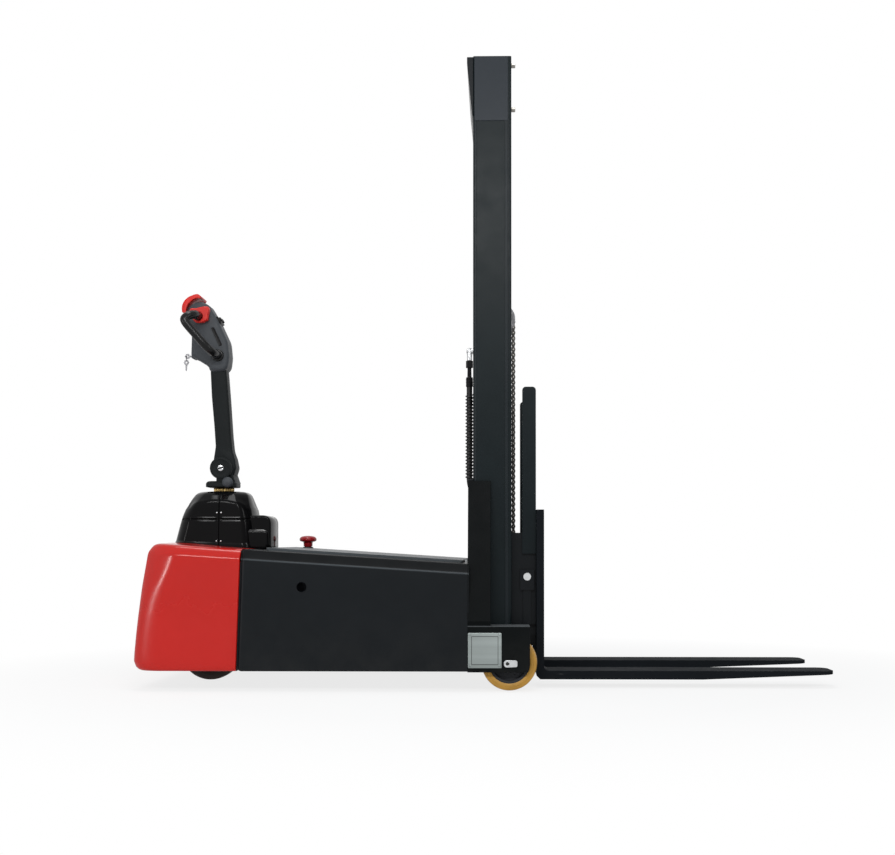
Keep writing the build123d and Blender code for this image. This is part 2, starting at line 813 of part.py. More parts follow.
half_chain = chain_height / 2
fixed_top = sheave_z - fixed_leaf_gap
chain_y0 = chain_offset - chain_width / 2
chain_y1 = chain_offset + chain_width / 2
wrap = ring_y(sheave_radius + half_chain, sheave_radius - half_chain, chain_y0, chain_y1, sheave_x, sheave_z)
wrap_x0 = sheave_x - 2 * sheave_radius
wrap_x1 = sheave_x + 2 * sheave_radius
wrap -= block(wrap_x0, wrap_x1, chain_y0, chain_y1, sheave_z - 2 * sheave_radius, sheave_z)
leaf_back = chain_back_x - half_chain
leaf_front = chain_back_x + half_chain
leaf_y0 = chain_offset - chain_leaf
leaf_y1 = chain_offset + chain_leaf
wrap += block(leaf_back, leaf_front, leaf_y0, leaf_y1, moving_low, sheave_z)
save("ram_chains", wrap, other_side(wrap))
fixed_low = back_anchor_z
fixed = block(leaf_back, leaf_front, chain_y0, chain_y1, fixed_low, fixed_low + chain_height)
for y in (chain_y0, chain_y1 - chain_leaf):
    fixed += block(leaf_back, leaf_front, y, y + chain_leaf, fixed_low, fixed_top)
save("mast_chains", fixed, other_side(fixed))
anchor = rod_z(anchor_bolt, shelf_low - 2 * anchor_bolt, fixed_low, chain_back_x, chain_offset)
nut = extrude(RegularPolygon(anchor_nut, 6), anchor_nut_height)
anchor += Pos(chain_back_x, chain_offset, shelf_low - anchor_nut_height) * nut
save("mast_chain_anchors", anchor, other_side(anchor))
front_x0 = chain_front_x - half_chain
front_x1 = chain_front_x + half_chain
front_run = block(front_x0, front_x1, chain_y0, chain_y1, anchor_z, sheave_z - apart)
save("carriage_chains", front_run, other_side(front_run))


# Carriage and forks

cheek_inner = cheek_outer - cheek
cheek_back = mast_back + flange + 2 * sliding
bar_back = carriage_front - bar_depth
middle_bar = anchor_z - bar_height - anchor_above_bar
bars = []
for z in (cheek_bottom, middle_bar, cheek_top - bar_height):
    bars.append(block(bar_back, carriage_front, -cheek_inner, cheek_inner, z, z + bar_height))
bars.append(block(bar_back, carriage_front, -cheek_inner, cheek_inner, apron_low, cheek_bottom))
shaft_end = cheek_outer + boss_width + 2 * sliding
shaft_hole = rod_y(shaft_radius + running, -shaft_end, shaft_end, shaft_x, shaft_height)
side = block(cheek_back, carriage_front, cheek_inner, cheek_outer, cheek_bottom, cheek_top)
boss_x0 = shaft_x - boss_depth / 2
boss_x1 = shaft_x + boss_depth / 2
boss_z0 = shaft_height - boss_height * 2 / 3
side += block(boss_x0, boss_x1, cheek_outer, cheek_outer + boss_width, boss_z0, boss_z0 + boss_height)
strip_x0 = shaft_x - strip_width / 2
side += block(strip_x0, strip_x0 + strip_width, cheek_outer, cheek_outer + plate, cheek_bottom, boss_z0)
pin_tip = mast_half - web - 2 * sliding
pieces = [side - shaft_hole]
for z in roller_heights:
    pieces.append(rod_y(roller_pin, cheek_outer, pin_tip, roller_x, z))
plate_y = 2 * cheek
low_bar = cheek_bottom + bar_height
rib = block(bar_back - plate, carriage_front, plate_y - plate, plate_y, low_bar, middle_bar)
pieces.append(rib - shaft_hole)
ledge_x = chain_front_x - 2 * anchor_bolt
ledge_y0 = chain_offset - chain_width / 2 - anchor_bolt
ledge_y1 = chain_offset + chain_width / 2 + anchor_bolt
ledge = block(ledge_x, bar_back, ledge_y0, ledge_y1, middle_bar + plate, middle_bar + 3 * plate)
pieces.append(ledge + rod_z(anchor_bolt, middle_bar, anchor_z, chain_front_x, chain_offset))
save("carriage_frame", *bars, *pieces, *[other_side(piece) for piece in pieces])
save("fork_shaft", rod_y(shaft_radius, -shaft_end, shaft_end, shaft_x, shaft_height))

for name, z in zip(("lower_rollers", "upper_rollers"), roller_heights):
    roller_y = mast_half - web - 4 * sliding - roller_width
    roller = ring_y(roller_radius, roller_pin + running, roller_y, roller_y + roller_width, roller_x, z)
    save(name, roller, other_side(roller))

post_back = carriage_front - post_depth
post = block(post_back, carriage_front, cheek_outer, cheek_outer + post_width, post_foot, post_top)
post_y = cheek_outer + post_width / 2
post = fillet([nearest_edge(post, (x, post_y, post_top)) for x in (post_back, carriage_front)], post_width)
rail_x0 = carriage_front - post_depth / 2 - rail_depth / 2
rail_x1 = rail_x0 + rail_depth
rail_tops = (post_top - rail_height, (cheek_top + post_top) / 2 - 2 * rail_height)
backrest = post + other_side(post)
for z in rail_tops:
    backrest += block(rail_x0, rail_x1, -cheek_outer, cheek_outer, z - rail_height, z)
for place in range(backrest_bars):
    y = cheek_outer * (2 * (place + 1) / (backrest_bars + 1) - 1)
    backrest += block(rail_x0, rail_x1, y - rail_depth, y + rail_depth, rail_tops[1], rail_tops[0])
save("backrest", backrest)

blade_top = fork_under + fork_blade
fork_outline = [
    (fork_back, fork_under + heel_chamfer),
    (fork_back, fork_under + fork_rise),
    (fork_face, fork_under + fork_rise),
    (fork_face, blade_top),
    (x_tip, blade_top),
    (x_tip, blade_top - fork_tip),
    (x_tip - fork_taper, fork_under),
    (fork_back + heel_chamfer, fork_under),
]
fork_inner = fork_outer - fork_width
fork = side_prism(fork_outline, fork_inner, fork_outer)
fork = fillet(nearest_edge(fork, (fork_face, fork_outer - fork_width / 2, blade_top)), heel_fillet)
tip_z = blade_top - fork_tip / 2
fork = fillet([nearest_edge(fork, (x_tip, y, tip_z)) for y in (fork_inner, fork_outer)], fork_width / 4)
lug_y = fork_inner + 2 * sliding
lug_z0 = shaft_height - lug_below
fork += block(boss_x0, fork_back, lug_y, lug_y + lug_width, lug_z0, shaft_height + lug_above)
fork -= rod_y(shaft_radius + running, fork_inner, fork_outer, shaft_x, shaft_height)
save("left_fork", fork)
save("right_fork", other_side(fork))

# Drive unit

table_top = deck_z - sliding
table_low = table_top - turntable_thick
gearbox_y = drive_width / 2 + plate
drive = rod_z(turntable_radius, table_low, table_top, steer_x, 0)
spigot_top = table_top + deck_thick + spigot_height
drive += rod_z(spigot_radius, table_top, spigot_top, steer_x, 0)
gear_back = drive_x - gearbox_half
gear_front = drive_x + gearbox_half
drive += block(gear_back, gear_front, gearbox_y, gearbox_y + gearbox_width, gearbox_low, table_low)
drive += rod_y(axle_boss, drive_width / 2 + sliding, gearbox_y, drive_x, drive_radius)
drive += rod_y(drive_axle, -drive_width / 2 - plate, gearbox_y, drive_x, drive_radius)
drive += rod_y(axle_boss, -drive_width / 2 - plate, -drive_width / 2 - sliding, drive_x, drive_radius)
save("drive_gearbox", drive)
motor_top = hood_top - motor_head_room
save("traction_motor", rod_z(motor_radius, spigot_top, motor_top, steer_x, 0))
drive_tyre = ring_y(drive_radius, drive_rim, -drive_width / 2, drive_width / 2, drive_x, drive_radius)
drive_tyre = fillet(drive_tyre.edges().filter_by(GeomType.CIRCLE).sort_by(SortBy.RADIUS)[-2:], plate)
save("drive_tyre", drive_tyre)
drive_half = drive_width / 2
drive_hub = ring_y(drive_rim - running, drive_axle + running, -drive_half, drive_half, drive_x, drive_radius)
save("drive_hub", drive_hub)

# Steering stem and tiller

save("steer_stem", rod_z(stem_radius, motor_top, bracket_low, steer_x, 0))
collar = rod_z(collar_radius, collar_low, bracket_low, steer_x, 0)
save("stem_collar", collar - rod_z(stem_radius + running, collar_low, bracket_low, steer_x, 0))

ear_in = eye_half + sliding
ear_out = ear_in + ear_thick
bracket_x0 = steer_x - bracket_length / 2
bracket_x1 = steer_x + bracket_length / 2
bracket = block(bracket_x0, bracket_x1, -ear_out, ear_out, bracket_low, bracket_high)
bracket = fillet(bracket.edges().filter_by(Axis.Z), ear_thick)
ear_x0 = steer_x - ear_radius
ear_x1 = steer_x + ear_radius
for y in (-ear_out, ear_in):
    bracket += block(ear_x0, ear_x1, y, y + ear_thick, bracket_high - plate, pivot_z)
    bracket += rod_y(ear_radius, y, y + ear_thick, steer_x, pivot_z)
bracket -= rod_y(pivot_pin + running, -ear_out, ear_out, steer_x, pivot_z)
knob_z = (bracket_low + bracket_high) / 2 + knob_rise
bracket += rod_y(knob_radius, -ear_out - plate, -ear_out, steer_x + knob_forward, knob_z)
save("tiller_bracket", bracket)
save("tiller_pin", rod_y(pivot_pin, -ear_out - 2 * sliding, ear_out + 2 * sliding, steer_x, pivot_z))


def from_pivot(points):
    """Outline points given from the tiller's pivot, in the machine's frame."""
    return [(steer_x + dx, pivot_z + dz) for dx, dz in points]


def slanted_rod(radius, place, direction, length):
    """Round bar from a place given from the pivot and a side place, along a direction."""
    start = Vector(steer_x + place[0], place[1], pivot_z + place[2])
    plane = Plane(origin=start, z_dir=direction)
    return plane * Pos(0, 0, length / 2) * Cylinder(radius, length)


half_arm = arm_width / 2
arm_outline = [(-half_arm, 0), (half_arm, 0)]
arm_outline += [(half_arm - arm_lean, arm_height), (-half_arm - arm_lean, arm_height)]
arm = side_prism(from_pivot(arm_outline), -arm_half, arm_half)
arm_low = eye_radius + arm_wall
arm_inner = half_arm - arm_wall
lean_low = arm_lean * arm_low / arm_height
hollow = [(-arm_inner - lean_low, arm_low), (arm_inner - lean_low, arm_low)]
hollow += [(arm_inner - arm_lean, arm_height), (-arm_inner - arm_lean, arm_height)]
arm += rod_y(eye_radius, -eye_half, eye_half, steer_x, pivot_z)
arm -= rod_y(pivot_pin + running, -eye_half, eye_half, steer_x, pivot_z)
arm -= side_prism(from_pivot(hollow), arm_wall - arm_half, arm_half - arm_wall)
save("tiller_arm", arm)

inward = tuple(-part for part in button_face)
bore_depth = button_depth + button_travel + sliding
head = side_prism(from_pivot(head_outline), -head_half, head_half)
plunger_place = (plunger_top[0], 0, plunger_top[1])
plunger_room = plunger_length + belly_travel + sliding
head -= slanted_rod(plunger_radius + apart, plunger_place, belly_press, plunger_room)
for name, y in (("lift_button", -button_spread), ("lower_button", button_spread)):
    place = (button_place[0], y, button_place[1])
    outer = (place[0] + button_proud * button_face[0], y, place[2] + button_proud * button_face[2])
    head -= slanted_rod(button_radius + apart, outer, inward, bore_depth + button_proud)
    save(name, slanted_rod(button_radius, outer, inward, button_depth + button_proud))
key_x = steer_x + key_face
key_z = pivot_z + key_height
head -= rod_x(key_radius + apart, key_x, key_x + key_depth + sliding, 0, key_z)
save("tiller_head", head)
key = rod_x(key_radius, key_x - key_reach, key_x + key_depth, 0, key_z)
bow_x = key_x - key_reach
key += block(bow_x - key_bow, bow_x + key_blade, -key_blade, key_blade, key_z - key_bow, key_z + key_bow)
save("ignition_key", key)
belly = side_prism(from_pivot(belly_outline), -belly_half, belly_half)
belly += slanted_rod(plunger_radius, plunger_place, belly_press, plunger_length)
save("belly_button", belly)

bar_x = steer_x + bar_place[0]
bar_z = pivot_z + bar_place[1]
corner_x = steer_x + grip_corner[0]
corner_z = pivot_z + grip_corner[1]
foot_x = steer_x + grip_foot[0]
foot_z = pivot_z + grip_foot[1]
grip_points = [
    (bar_x, head_half, bar_z),
    (bar_x, grip_shoulder, bar_z),
    (corner_x, grip_reach, corner_z),
    (foot_x, grip_foot_reach, foot_z),
    (foot_x, head_half, foot_z),
]
grip_path = FilletPolyline(*grip_points, radius=grip_bend)
grip = sweep(Plane(origin=grip_path @ 0, z_dir=grip_path % 0) * Circle(grip_radius), path=grip_path)
save("hand_grips", grip, other_side(grip))
throttle_y = head_half + sliding
lobe = throttle_wing - throttle_radius
wing = rod_y(throttle_radius, throttle_y, throttle_y + throttle_width, bar_x, bar_z)
for dx, dz in lobe_places:
    lobe_x = bar_x + dx * throttle_radius
    lobe_z = bar_z + dz * throttle_radius
    wing += rod_y(lobe, throttle_y, throttle_y + lobe_width, lobe_x, lobe_z)
wing -= rod_y(grip_radius + apart, throttle_y, throttle_y + throttle_width, bar_x, bar_z)
save("throttle", wing, other_side(wing))


# Hydraulic hose, from the cylinder's gland down the mast to the oil tank

fitting_z = (barrel_top + gland_top) / 2
ferrule_top = fitting_z - 2 * fitting_radius
ferrule_low = ferrule_top - ferrule_length
elbow = rod_x(fitting_radius, hose_x - fitting_radius, port_x, 0, fitting_z)
elbow += rod_z(fitting_radius, ferrule_top, fitting_z, hose_x, 0)
elbow += rod_z(ferrule_radius, ferrule_low, ferrule_top, hose_x, 0)
save("hose_fittings", elbow)

bend_top = back_plate_top - hose_turn_drop
hose_points = [
    (hose_x, 0, ferrule_low),
    (hose_x, 0, bend_top),
    (hose_inner_x, 0, bend_top - hose_turn_fall),
    (hose_inner_x, 0, hose_exit_z),
    (tank_front, 0, hose_exit_z),
]
print("hose bend radii", hose_bends)
hose_path = FilletPolyline(*hose_points, radius=hose_bends)
hose = sweep(Plane(origin=hose_path @ 0, z_dir=hose_path % 0) * Circle(hose_radius), path=hose_path)
print("hose volume over section times length", hose.volume / (math.pi * hose_radius**2 * hose_path.length))
save("hydraulic_hose", hose)


def biarc(start, start_way, end, end_way):
    """Two arcs that leave one point and reach another along given directions."""
    span = end - start
    ways = start_way + end_way
    spread = 2 * (1 - start_way.dot(end_way))
    along = span.dot(ways)
    reach = (math.sqrt(along * along + spread * span.dot(span)) - along) / spread
    first = start + start_way * reach
    last = end - end_way * reach
    middle = (first + last) * 0.5
    return [TangentArc(start, middle, tangent=start_way), TangentArc(middle, end, tangent=last - first)]


guard_radius = hose_radius + apart + guard_wire
guard_top = ferrule_low - guard_drop
guard_turns = int((guard_top - back_plate_top - guard_over_plate) / guard_pitch)
quarter = guard_pitch / 4


def guard_point(quarters):
    """Point on the guard's helix, counted in quarter turns from its top."""
    angle = quarters * math.pi / 2
    height = guard_top - quarters * quarter
    return Vector(hose_x + guard_radius * math.cos(angle), guard_radius * math.sin(angle), height)


def guard_way(quarters):
    """Direction of the guard's helix at a quarter turn."""
    angle = quarters * math.pi / 2
    rate = guard_radius * math.pi / 2
    return Vector(-rate * math.sin(angle), rate * math.cos(angle), -quarter).normalized()


guard_quarters = 4 * guard_turns
lead = 2 * guard_wire
guard_edges = [Line(guard_point(0) - guard_way(0) * lead, guard_point(0))]
for count in range(guard_quarters):
    guard_edges += biarc(guard_point(count), guard_way(count), guard_point(count + 1), guard_way(count + 1))
guard_end = guard_point(guard_quarters)
guard_edges.append(Line(guard_end, guard_end + guard_way(guard_quarters) * lead))
guard_path = Wire([edge for curve in guard_edges for edge in curve.edges()])
guard_start = Plane(origin=guard_path @ 0, z_dir=guard_path % 0)
guard = sweep(guard_start * Circle(guard_wire), path=guard_path)
steps = [count / 4 for count in range(4 * guard_quarters)]
gaps = [(guard_point(step + 4) - guard_point(step)).length - 2 * guard_wire for step in steps[:-16]]
print("hose guard least gap", min(gaps))
save("hose_guard", guard)
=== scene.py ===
import json
import math

import bmesh
import bpy
import numpy as np
from bpy.props import FloatProperty, FloatVectorProperty, PointerProperty
from bpy.types import Operator, Panel, PropertyGroup
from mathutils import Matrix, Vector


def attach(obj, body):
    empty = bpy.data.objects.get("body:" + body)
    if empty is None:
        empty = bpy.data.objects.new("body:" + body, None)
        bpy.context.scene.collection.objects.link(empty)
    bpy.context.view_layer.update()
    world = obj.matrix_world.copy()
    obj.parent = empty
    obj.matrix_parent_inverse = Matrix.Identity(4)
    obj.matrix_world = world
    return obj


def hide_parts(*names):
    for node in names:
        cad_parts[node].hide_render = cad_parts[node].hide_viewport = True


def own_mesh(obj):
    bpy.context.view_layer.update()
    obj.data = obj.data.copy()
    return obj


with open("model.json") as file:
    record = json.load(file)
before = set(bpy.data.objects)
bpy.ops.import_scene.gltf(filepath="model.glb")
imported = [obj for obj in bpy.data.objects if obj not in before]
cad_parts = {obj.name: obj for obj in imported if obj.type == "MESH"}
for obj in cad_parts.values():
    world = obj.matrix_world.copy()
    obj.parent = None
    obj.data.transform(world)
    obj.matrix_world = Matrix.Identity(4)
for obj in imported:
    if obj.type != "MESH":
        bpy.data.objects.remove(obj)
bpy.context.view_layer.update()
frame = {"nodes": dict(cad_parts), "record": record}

bl_info = {
    "name": "Electric stacker",
    "version": (1, 0, 0),
    "blender": (4, 5, 0),
    "location": "View3D > Sidebar > Stacker",
    "description": "Surfaces and finishes of an electric stacker round its packed frame",
    "category": "Object",
}


def colour_prop(name, default):
    """Colour that a user would change."""
    return FloatVectorProperty(name=name, description=f"Colour of the {name.lower()}", subtype="COLOR",
                               size=3, min=0.0, max=1.0, default=default)


def length_prop(name, description, default):
    """Length in metres that a user would change."""
    return FloatProperty(name=name, description=description, unit="LENGTH", default=default, min=0.0)


def angle_prop(name, description, degrees):
    """Angle that a user would change."""
    return FloatProperty(name=name, description=description, unit="ROTATION", default=math.radians(degrees))


def power_prop(name, description, default):
    """Lamp power in watts that a user would change."""
    return FloatProperty(name=name, description=description, unit="POWER", default=default, min=0.0)


class StackerColours(PropertyGroup):
    """Colours of the machine's finishes."""

    frame_black: colour_prop("Frame paint", (0.0056, 0.0072, 0.0088))
    # The lid's grey is painted light: the lid's up-facing top is drawn lighter than the black frame.
    lid_grey: colour_prop("Lid paint", (0.070, 0.078, 0.084))
    cover_red: colour_prop("Rear cover", (0.470, 0.009, 0.005))
    hood_black: colour_prop("Hood", (0.0030, 0.0030, 0.0034))
    tread_ochre: colour_prop("Front tread", (0.430, 0.226, 0.032))
    head_grey: colour_prop("Tiller head", (0.034, 0.039, 0.045))
    control_red: colour_prop("Controls", (0.590, 0.026, 0.020))


class StackerSizes(PropertyGroup):
    """Sizes of details that the frame leaves open."""

    edge: length_prop("Plate edge", "Rounding of plate edges", 0.0015)
    fold: length_prop("Sheet fold", "Inner radius of folded sheet edges", 0.012)
    chain_pitch: length_prop("Chain pitch", "Distance between the chain's pins", 0.01905)
    tread_crown: length_prop("Tread crown", "Height of the crown across a tread", 0.0015)


class StackerStage(PropertyGroup):
    """Camera and lamps."""

    camera_x: length_prop("Camera along", "Camera's place along the machine", 0.0407)
    camera_away: length_prop("Camera distance", "Camera to the machine's middle plane", 4.7329)
    camera_height: length_prop("Camera height", "Camera above the floor", 0.4760)
    camera_pitch: angle_prop("Camera pitch", "Camera's tilt upwards", 0.707)
    camera_yaw: angle_prop("Camera yaw", "Camera's turn towards the tiller", 1.024)
    lens: FloatProperty(name="Lens", description="Focal length", unit="CAMERA", default=54.59, min=10.0)
    shift_x: FloatProperty(name="Shift along", description="Picture's sideways shift", default=-0.03)
    shift_y: FloatProperty(name="Shift up", description="Picture's shift upwards", default=0.11)
    floor: colour_prop("Floor", (0.80, 0.80, 0.80))
    key_power: power_prop("Key lamp", "Power of the lamp over the machine", 80.0)
    strip_power: power_prop("Strip lamp", "Power of the long lamp over the camera", 120.0)
    side_power: power_prop("Side lamps", "Power of the lamps beside the camera", 30.0)


def colours():
    """The scene's finish colours."""
    return bpy.context.scene.stacker_colours


def sizes():
    """The scene's detail sizes."""
    return bpy.context.scene.stacker_sizes


# Shapes: arrays of rings, ring by ring and point by point


LOOPED = {"looped": True}


def mm(*rows):
    """Rows written in millimetres, in metres."""
    return np.array(rows, float) / 1000


def circle(count):
    """Angles of evenly spread points on a circle."""
    return np.linspace(0, 2 * math.pi, count, endpoint=False)


def rect(left, low, right, high):
    """Corners of a rectangle."""
    return np.array([(left, low), (right, low), (right, high), (left, high)])


def unit(vectors):
    """Rows brought to length one."""
    return vectors / np.maximum(np.linalg.norm(vectors, axis=1, keepdims=True), 1e-12)


def corner_cut(points, radii, steps=5):
    """Closed outline with each corner cut back by its radius and bridged by a parabola:
    (1-t)^2 times the point before, 2t(1-t) times the corner, t^2 times the point after."""
    most = 0.49
    p = np.asarray(points, float)
    back = np.roll(p, 1, axis=0) - p
    ahead = np.roll(p, -1, axis=0) - p
    shorter = np.minimum(np.linalg.norm(back, axis=1), np.linalg.norm(ahead, axis=1))
    half = np.arccos(np.clip(np.einsum("ij,ij->i", unit(back), unit(ahead)), -1, 1)) / 2
    cut = np.minimum(np.broadcast_to(radii, half.shape) / np.tan(half), most * shorter)[:, None]
    start = p + unit(back) * cut
    end = p + unit(ahead) * cut
    t = np.linspace(0, 1, steps)[None, :, None]
    arc = (1 - t) ** 2 * start[:, None] + 2 * t * (1 - t) * p[:, None] + t**2 * end[:, None]
    return arc.reshape(-1, p.shape[1])


def inward(outline):
    """Unit-depth offset of each point of a closed flat outline towards its inside: the mean of the
    two edges' normals, lengthened so that the edges move in by one."""
    ahead = unit(np.roll(outline, -1, axis=0) - outline)
    mean = ahead + np.roll(ahead, 1, axis=0)
    normal = unit(np.stack([-mean[:, 1], mean[:, 0]], axis=1))
    edge = np.stack([-ahead[:, 1], ahead[:, 0]], axis=1)
    grow = 1 / np.maximum(np.einsum("ij,ij->i", normal, edge), 0.5)
    x, y = outline.T
    area = np.sum(x * np.roll(y, -1) - y * np.roll(x, -1))
    return normal * grow[:, None] * np.sign(area)


def prism(outline, rows, axes=(0, 2, 1)):
    """Rings of an outline moved along its own normal: each row gives how far the outline shrinks and
    how deep it lies. The outline lies on the first two axes, the depth on the third."""
    outline = np.asarray(outline, float)
    rows = np.asarray(rows, float)
    rings = np.empty((len(rows), len(outline), 3))
    rings[..., axes[:2]] = outline[None] + inward(outline)[None] * rows[:, None, :1]
    rings[..., axes[2]] = rows[:, 1, None]
    return rings


def soft_rows(low, high, edge, steps=4):
    """Rows of a plate from one depth to another with both edges rounded by a quarter circle."""
    turn = np.linspace(0, math.pi / 2, steps)
    first = np.stack([edge * (1 - np.sin(turn)), low + edge * (1 - np.cos(turn))], axis=1)
    last = np.stack([edge * (1 - np.cos(turn)), high - edge * (1 - np.sin(turn))], axis=1)
    return np.concatenate([first, last])


def plate(corners, radii, cuts, low, high, edge, steps=4):
    """Plate with rounded corners and edges between two depths."""
    return prism(corner_cut(corners, radii, cuts), soft_rows(low, high, edge, steps))


def lathe(profile, centre, axis=1, count=64):
    """Rings of a profile of radius and place, turned about an axis through a centre."""
    radius, place = np.asarray(profile, float).T[..., None]
    turn = circle(count)
    rings = np.empty((len(radius), count, 3))
    rings[..., axis] = place
    rings[..., (axis + 1) % 3] = radius * np.cos(turn)
    rings[..., (axis + 2) % 3] = radius * np.sin(turn)
    across = np.arange(3) != axis
    return rings + np.array(centre, float) * across


def smooth_path(points, count):
    """Points evenly spread on a uniform cubic B-spline through the middle of its control points."""
    p = np.asarray(points, float)
    p = np.concatenate([2 * p[:1] - p[1:2], p, 2 * p[-1:] - p[-2:-1]])
    spans = len(p) - 3
    s = np.linspace(0, spans, count)
    i = np.minimum(s.astype(int), spans - 1)
    t = (s - i)[:, None]
    weights = [(1 - t) ** 3, 3 * t**3 - 6 * t**2 + 4, -3 * t**3 + 3 * t**2 + 3 * t + 1, t**3]
    return sum(weight * p[i + k] for k, weight in enumerate(weights)) / 6


def tube(path, radius, across, count=16, flat=1.0):
    """Rings of a round or oval section carried along a path. The section's first axis is the part of
    a given direction that is square to the path, its second the cross product with the path."""
    way = unit(np.gradient(path, axis=0))
    side = np.broadcast_to(np.asarray(across, float), path.shape)
    side = unit(side - np.einsum("ij,ij->i", side, way)[:, None] * way)
    other = np.cross(way, side)
    turn = circle(count)[None, :, None]
    wide = np.broadcast_to(radius, len(path))[:, None, None]
    return path[:, None] + wide * (side[:, None] * np.cos(turn) * flat + other[:, None] * np.sin(turn))


def ring_faces(rings, closed=True, looped=False, caps=True, start=0):
    """Quads between neighbouring rings, and a face on the first and the last ring."""
    count, around = rings.shape[:2]
    index = start + np.arange(count * around).reshape(count, around)
    if looped:
        index = np.concatenate([index, index[:1]])
    if closed:
        index = np.concatenate([index, index[:, :1]], axis=1)
    quads = np.stack([index[:-1, :-1], index[:-1, 1:], index[1:, 1:], index[1:, :-1]], axis=-1)
    faces = quads.reshape(-1, 4).tolist()
    if caps and closed and not looped:
        faces += [index[0, -2::-1].tolist(), index[-1, :-1].tolist()]
    return faces


def mirrored(rings):
    """The same rings on the other side of the machine."""
    return rings * np.array([1.0, -1.0, 1.0])


def pair(*shells):
    """Every shell of rings and its mirror image."""
    both = []
    for shell in shells:
        rings, words = shell if isinstance(shell, tuple) else (shell, {})
        both += [(rings, words), (mirrored(rings), words)]
    return both


def corners_of(mesh, field):
    """Places or normals of a mesh's vertices as rows."""
    flat = np.empty(3 * len(mesh.vertices))
    mesh.vertices.foreach_get(field, flat)
    return flat.reshape(-1, 3)


def piece(name, body, slot, shells, nodes=(), coat=None, sharp=35.0, wall=0.0):
    """One mesh object from several shells, set on a body and standing for CAD nodes. A shell is an array
    of rings, rings with the words of ring_faces, or points with ready faces. The finish is the slot's
    own where no other coat is named. A wall is a thickness that is added inwards."""
    points, faces, start = [], [], 0
    for shell in shells:
        rings, words = shell if isinstance(shell, tuple) else (shell, {})
        if isinstance(words, dict):
            faces += ring_faces(rings, start=start, **words)
        else:
            faces += [[start + corner for corner in face] for face in words]
        points.append(rings.reshape(-1, 3))
        start += points[-1].shape[0]
    mesh = bpy.data.meshes.new(name)
    mesh.from_pydata(np.concatenate(points).tolist(), [], faces)
    work = bmesh.new()
    work.from_mesh(mesh)
    bmesh.ops.remove_doubles(work, verts=work.verts, dist=1e-6)
    bmesh.ops.recalc_face_normals(work, faces=work.faces)
    work.to_mesh(mesh)
    work.free()
    mesh.shade_smooth()
    mesh.set_sharp_from_angle(angle=math.radians(sharp))
    mesh.materials.append(slot_finish(coat or slot))
    made = bpy.data.objects.new(name, mesh)
    bpy.context.scene.collection.objects.link(made)
    if wall:
        shell = made.modifiers.new("wall", "SOLIDIFY")
        shell.thickness = wall
        shell.offset = -1.0
        thick = made.evaluated_get(bpy.context.evaluated_depsgraph_get())
        made.data = bpy.data.meshes.new_from_object(thick)
        made.data.set_sharp_from_angle(angle=math.radians(sharp))
        made.modifiers.clear()
    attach(made, body)
    if nodes:
        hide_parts(*nodes)
    return made


# Finishes


def node(tree, kind, inputs=None, **settings):
    """Add a shader node; inputs that are sockets are joined, the others are set."""
    made = tree.nodes.new(kind)
    for key, value in settings.items():
        setattr(made, key, value)
    for key, value in (inputs or {}).items():
        if isinstance(value, bpy.types.NodeSocket):
            tree.links.new(value, made.inputs[key])
        else:
            made.inputs[key].default_value = value
    return made


def maths(tree, operation, *values):
    """Result of a sum on sockets and numbers."""
    return node(tree, "ShaderNodeMath", dict(enumerate(values)), operation=operation).outputs[0]


def rgba(colour, level=1.0):
    """Colour for a socket, made lighter or darker."""
    return (*[min(1.0, part * level) for part in colour], 1.0)


def noise(tree, place, scale, detail, stretch=None, rough=0.55):
    """Noise on Object coordinates, drawn out along an axis where a stretch is given."""
    if stretch:
        place = node(tree, "ShaderNodeMapping", {0: place, 3: stretch}).outputs[0]
    inputs = {"Vector": place, "Scale": scale, "Detail": detail, "Roughness": rough}
    return node(tree, "ShaderNodeTexNoise", inputs).outputs[0]


def ranged(tree, value, low, high, to_low, to_high):
    """Value spread from one range to another and held at its ends."""
    return node(tree, "ShaderNodeMapRange", {0: value, 1: low, 2: high, 3: to_low, 4: to_high}).outputs[0]


def mixed(tree, share, first, second):
    """Two colours mixed by a share."""
    return node(tree, "ShaderNodeMix", {0: share, 6: first, 7: second}, data_type="RGBA").outputs[2]


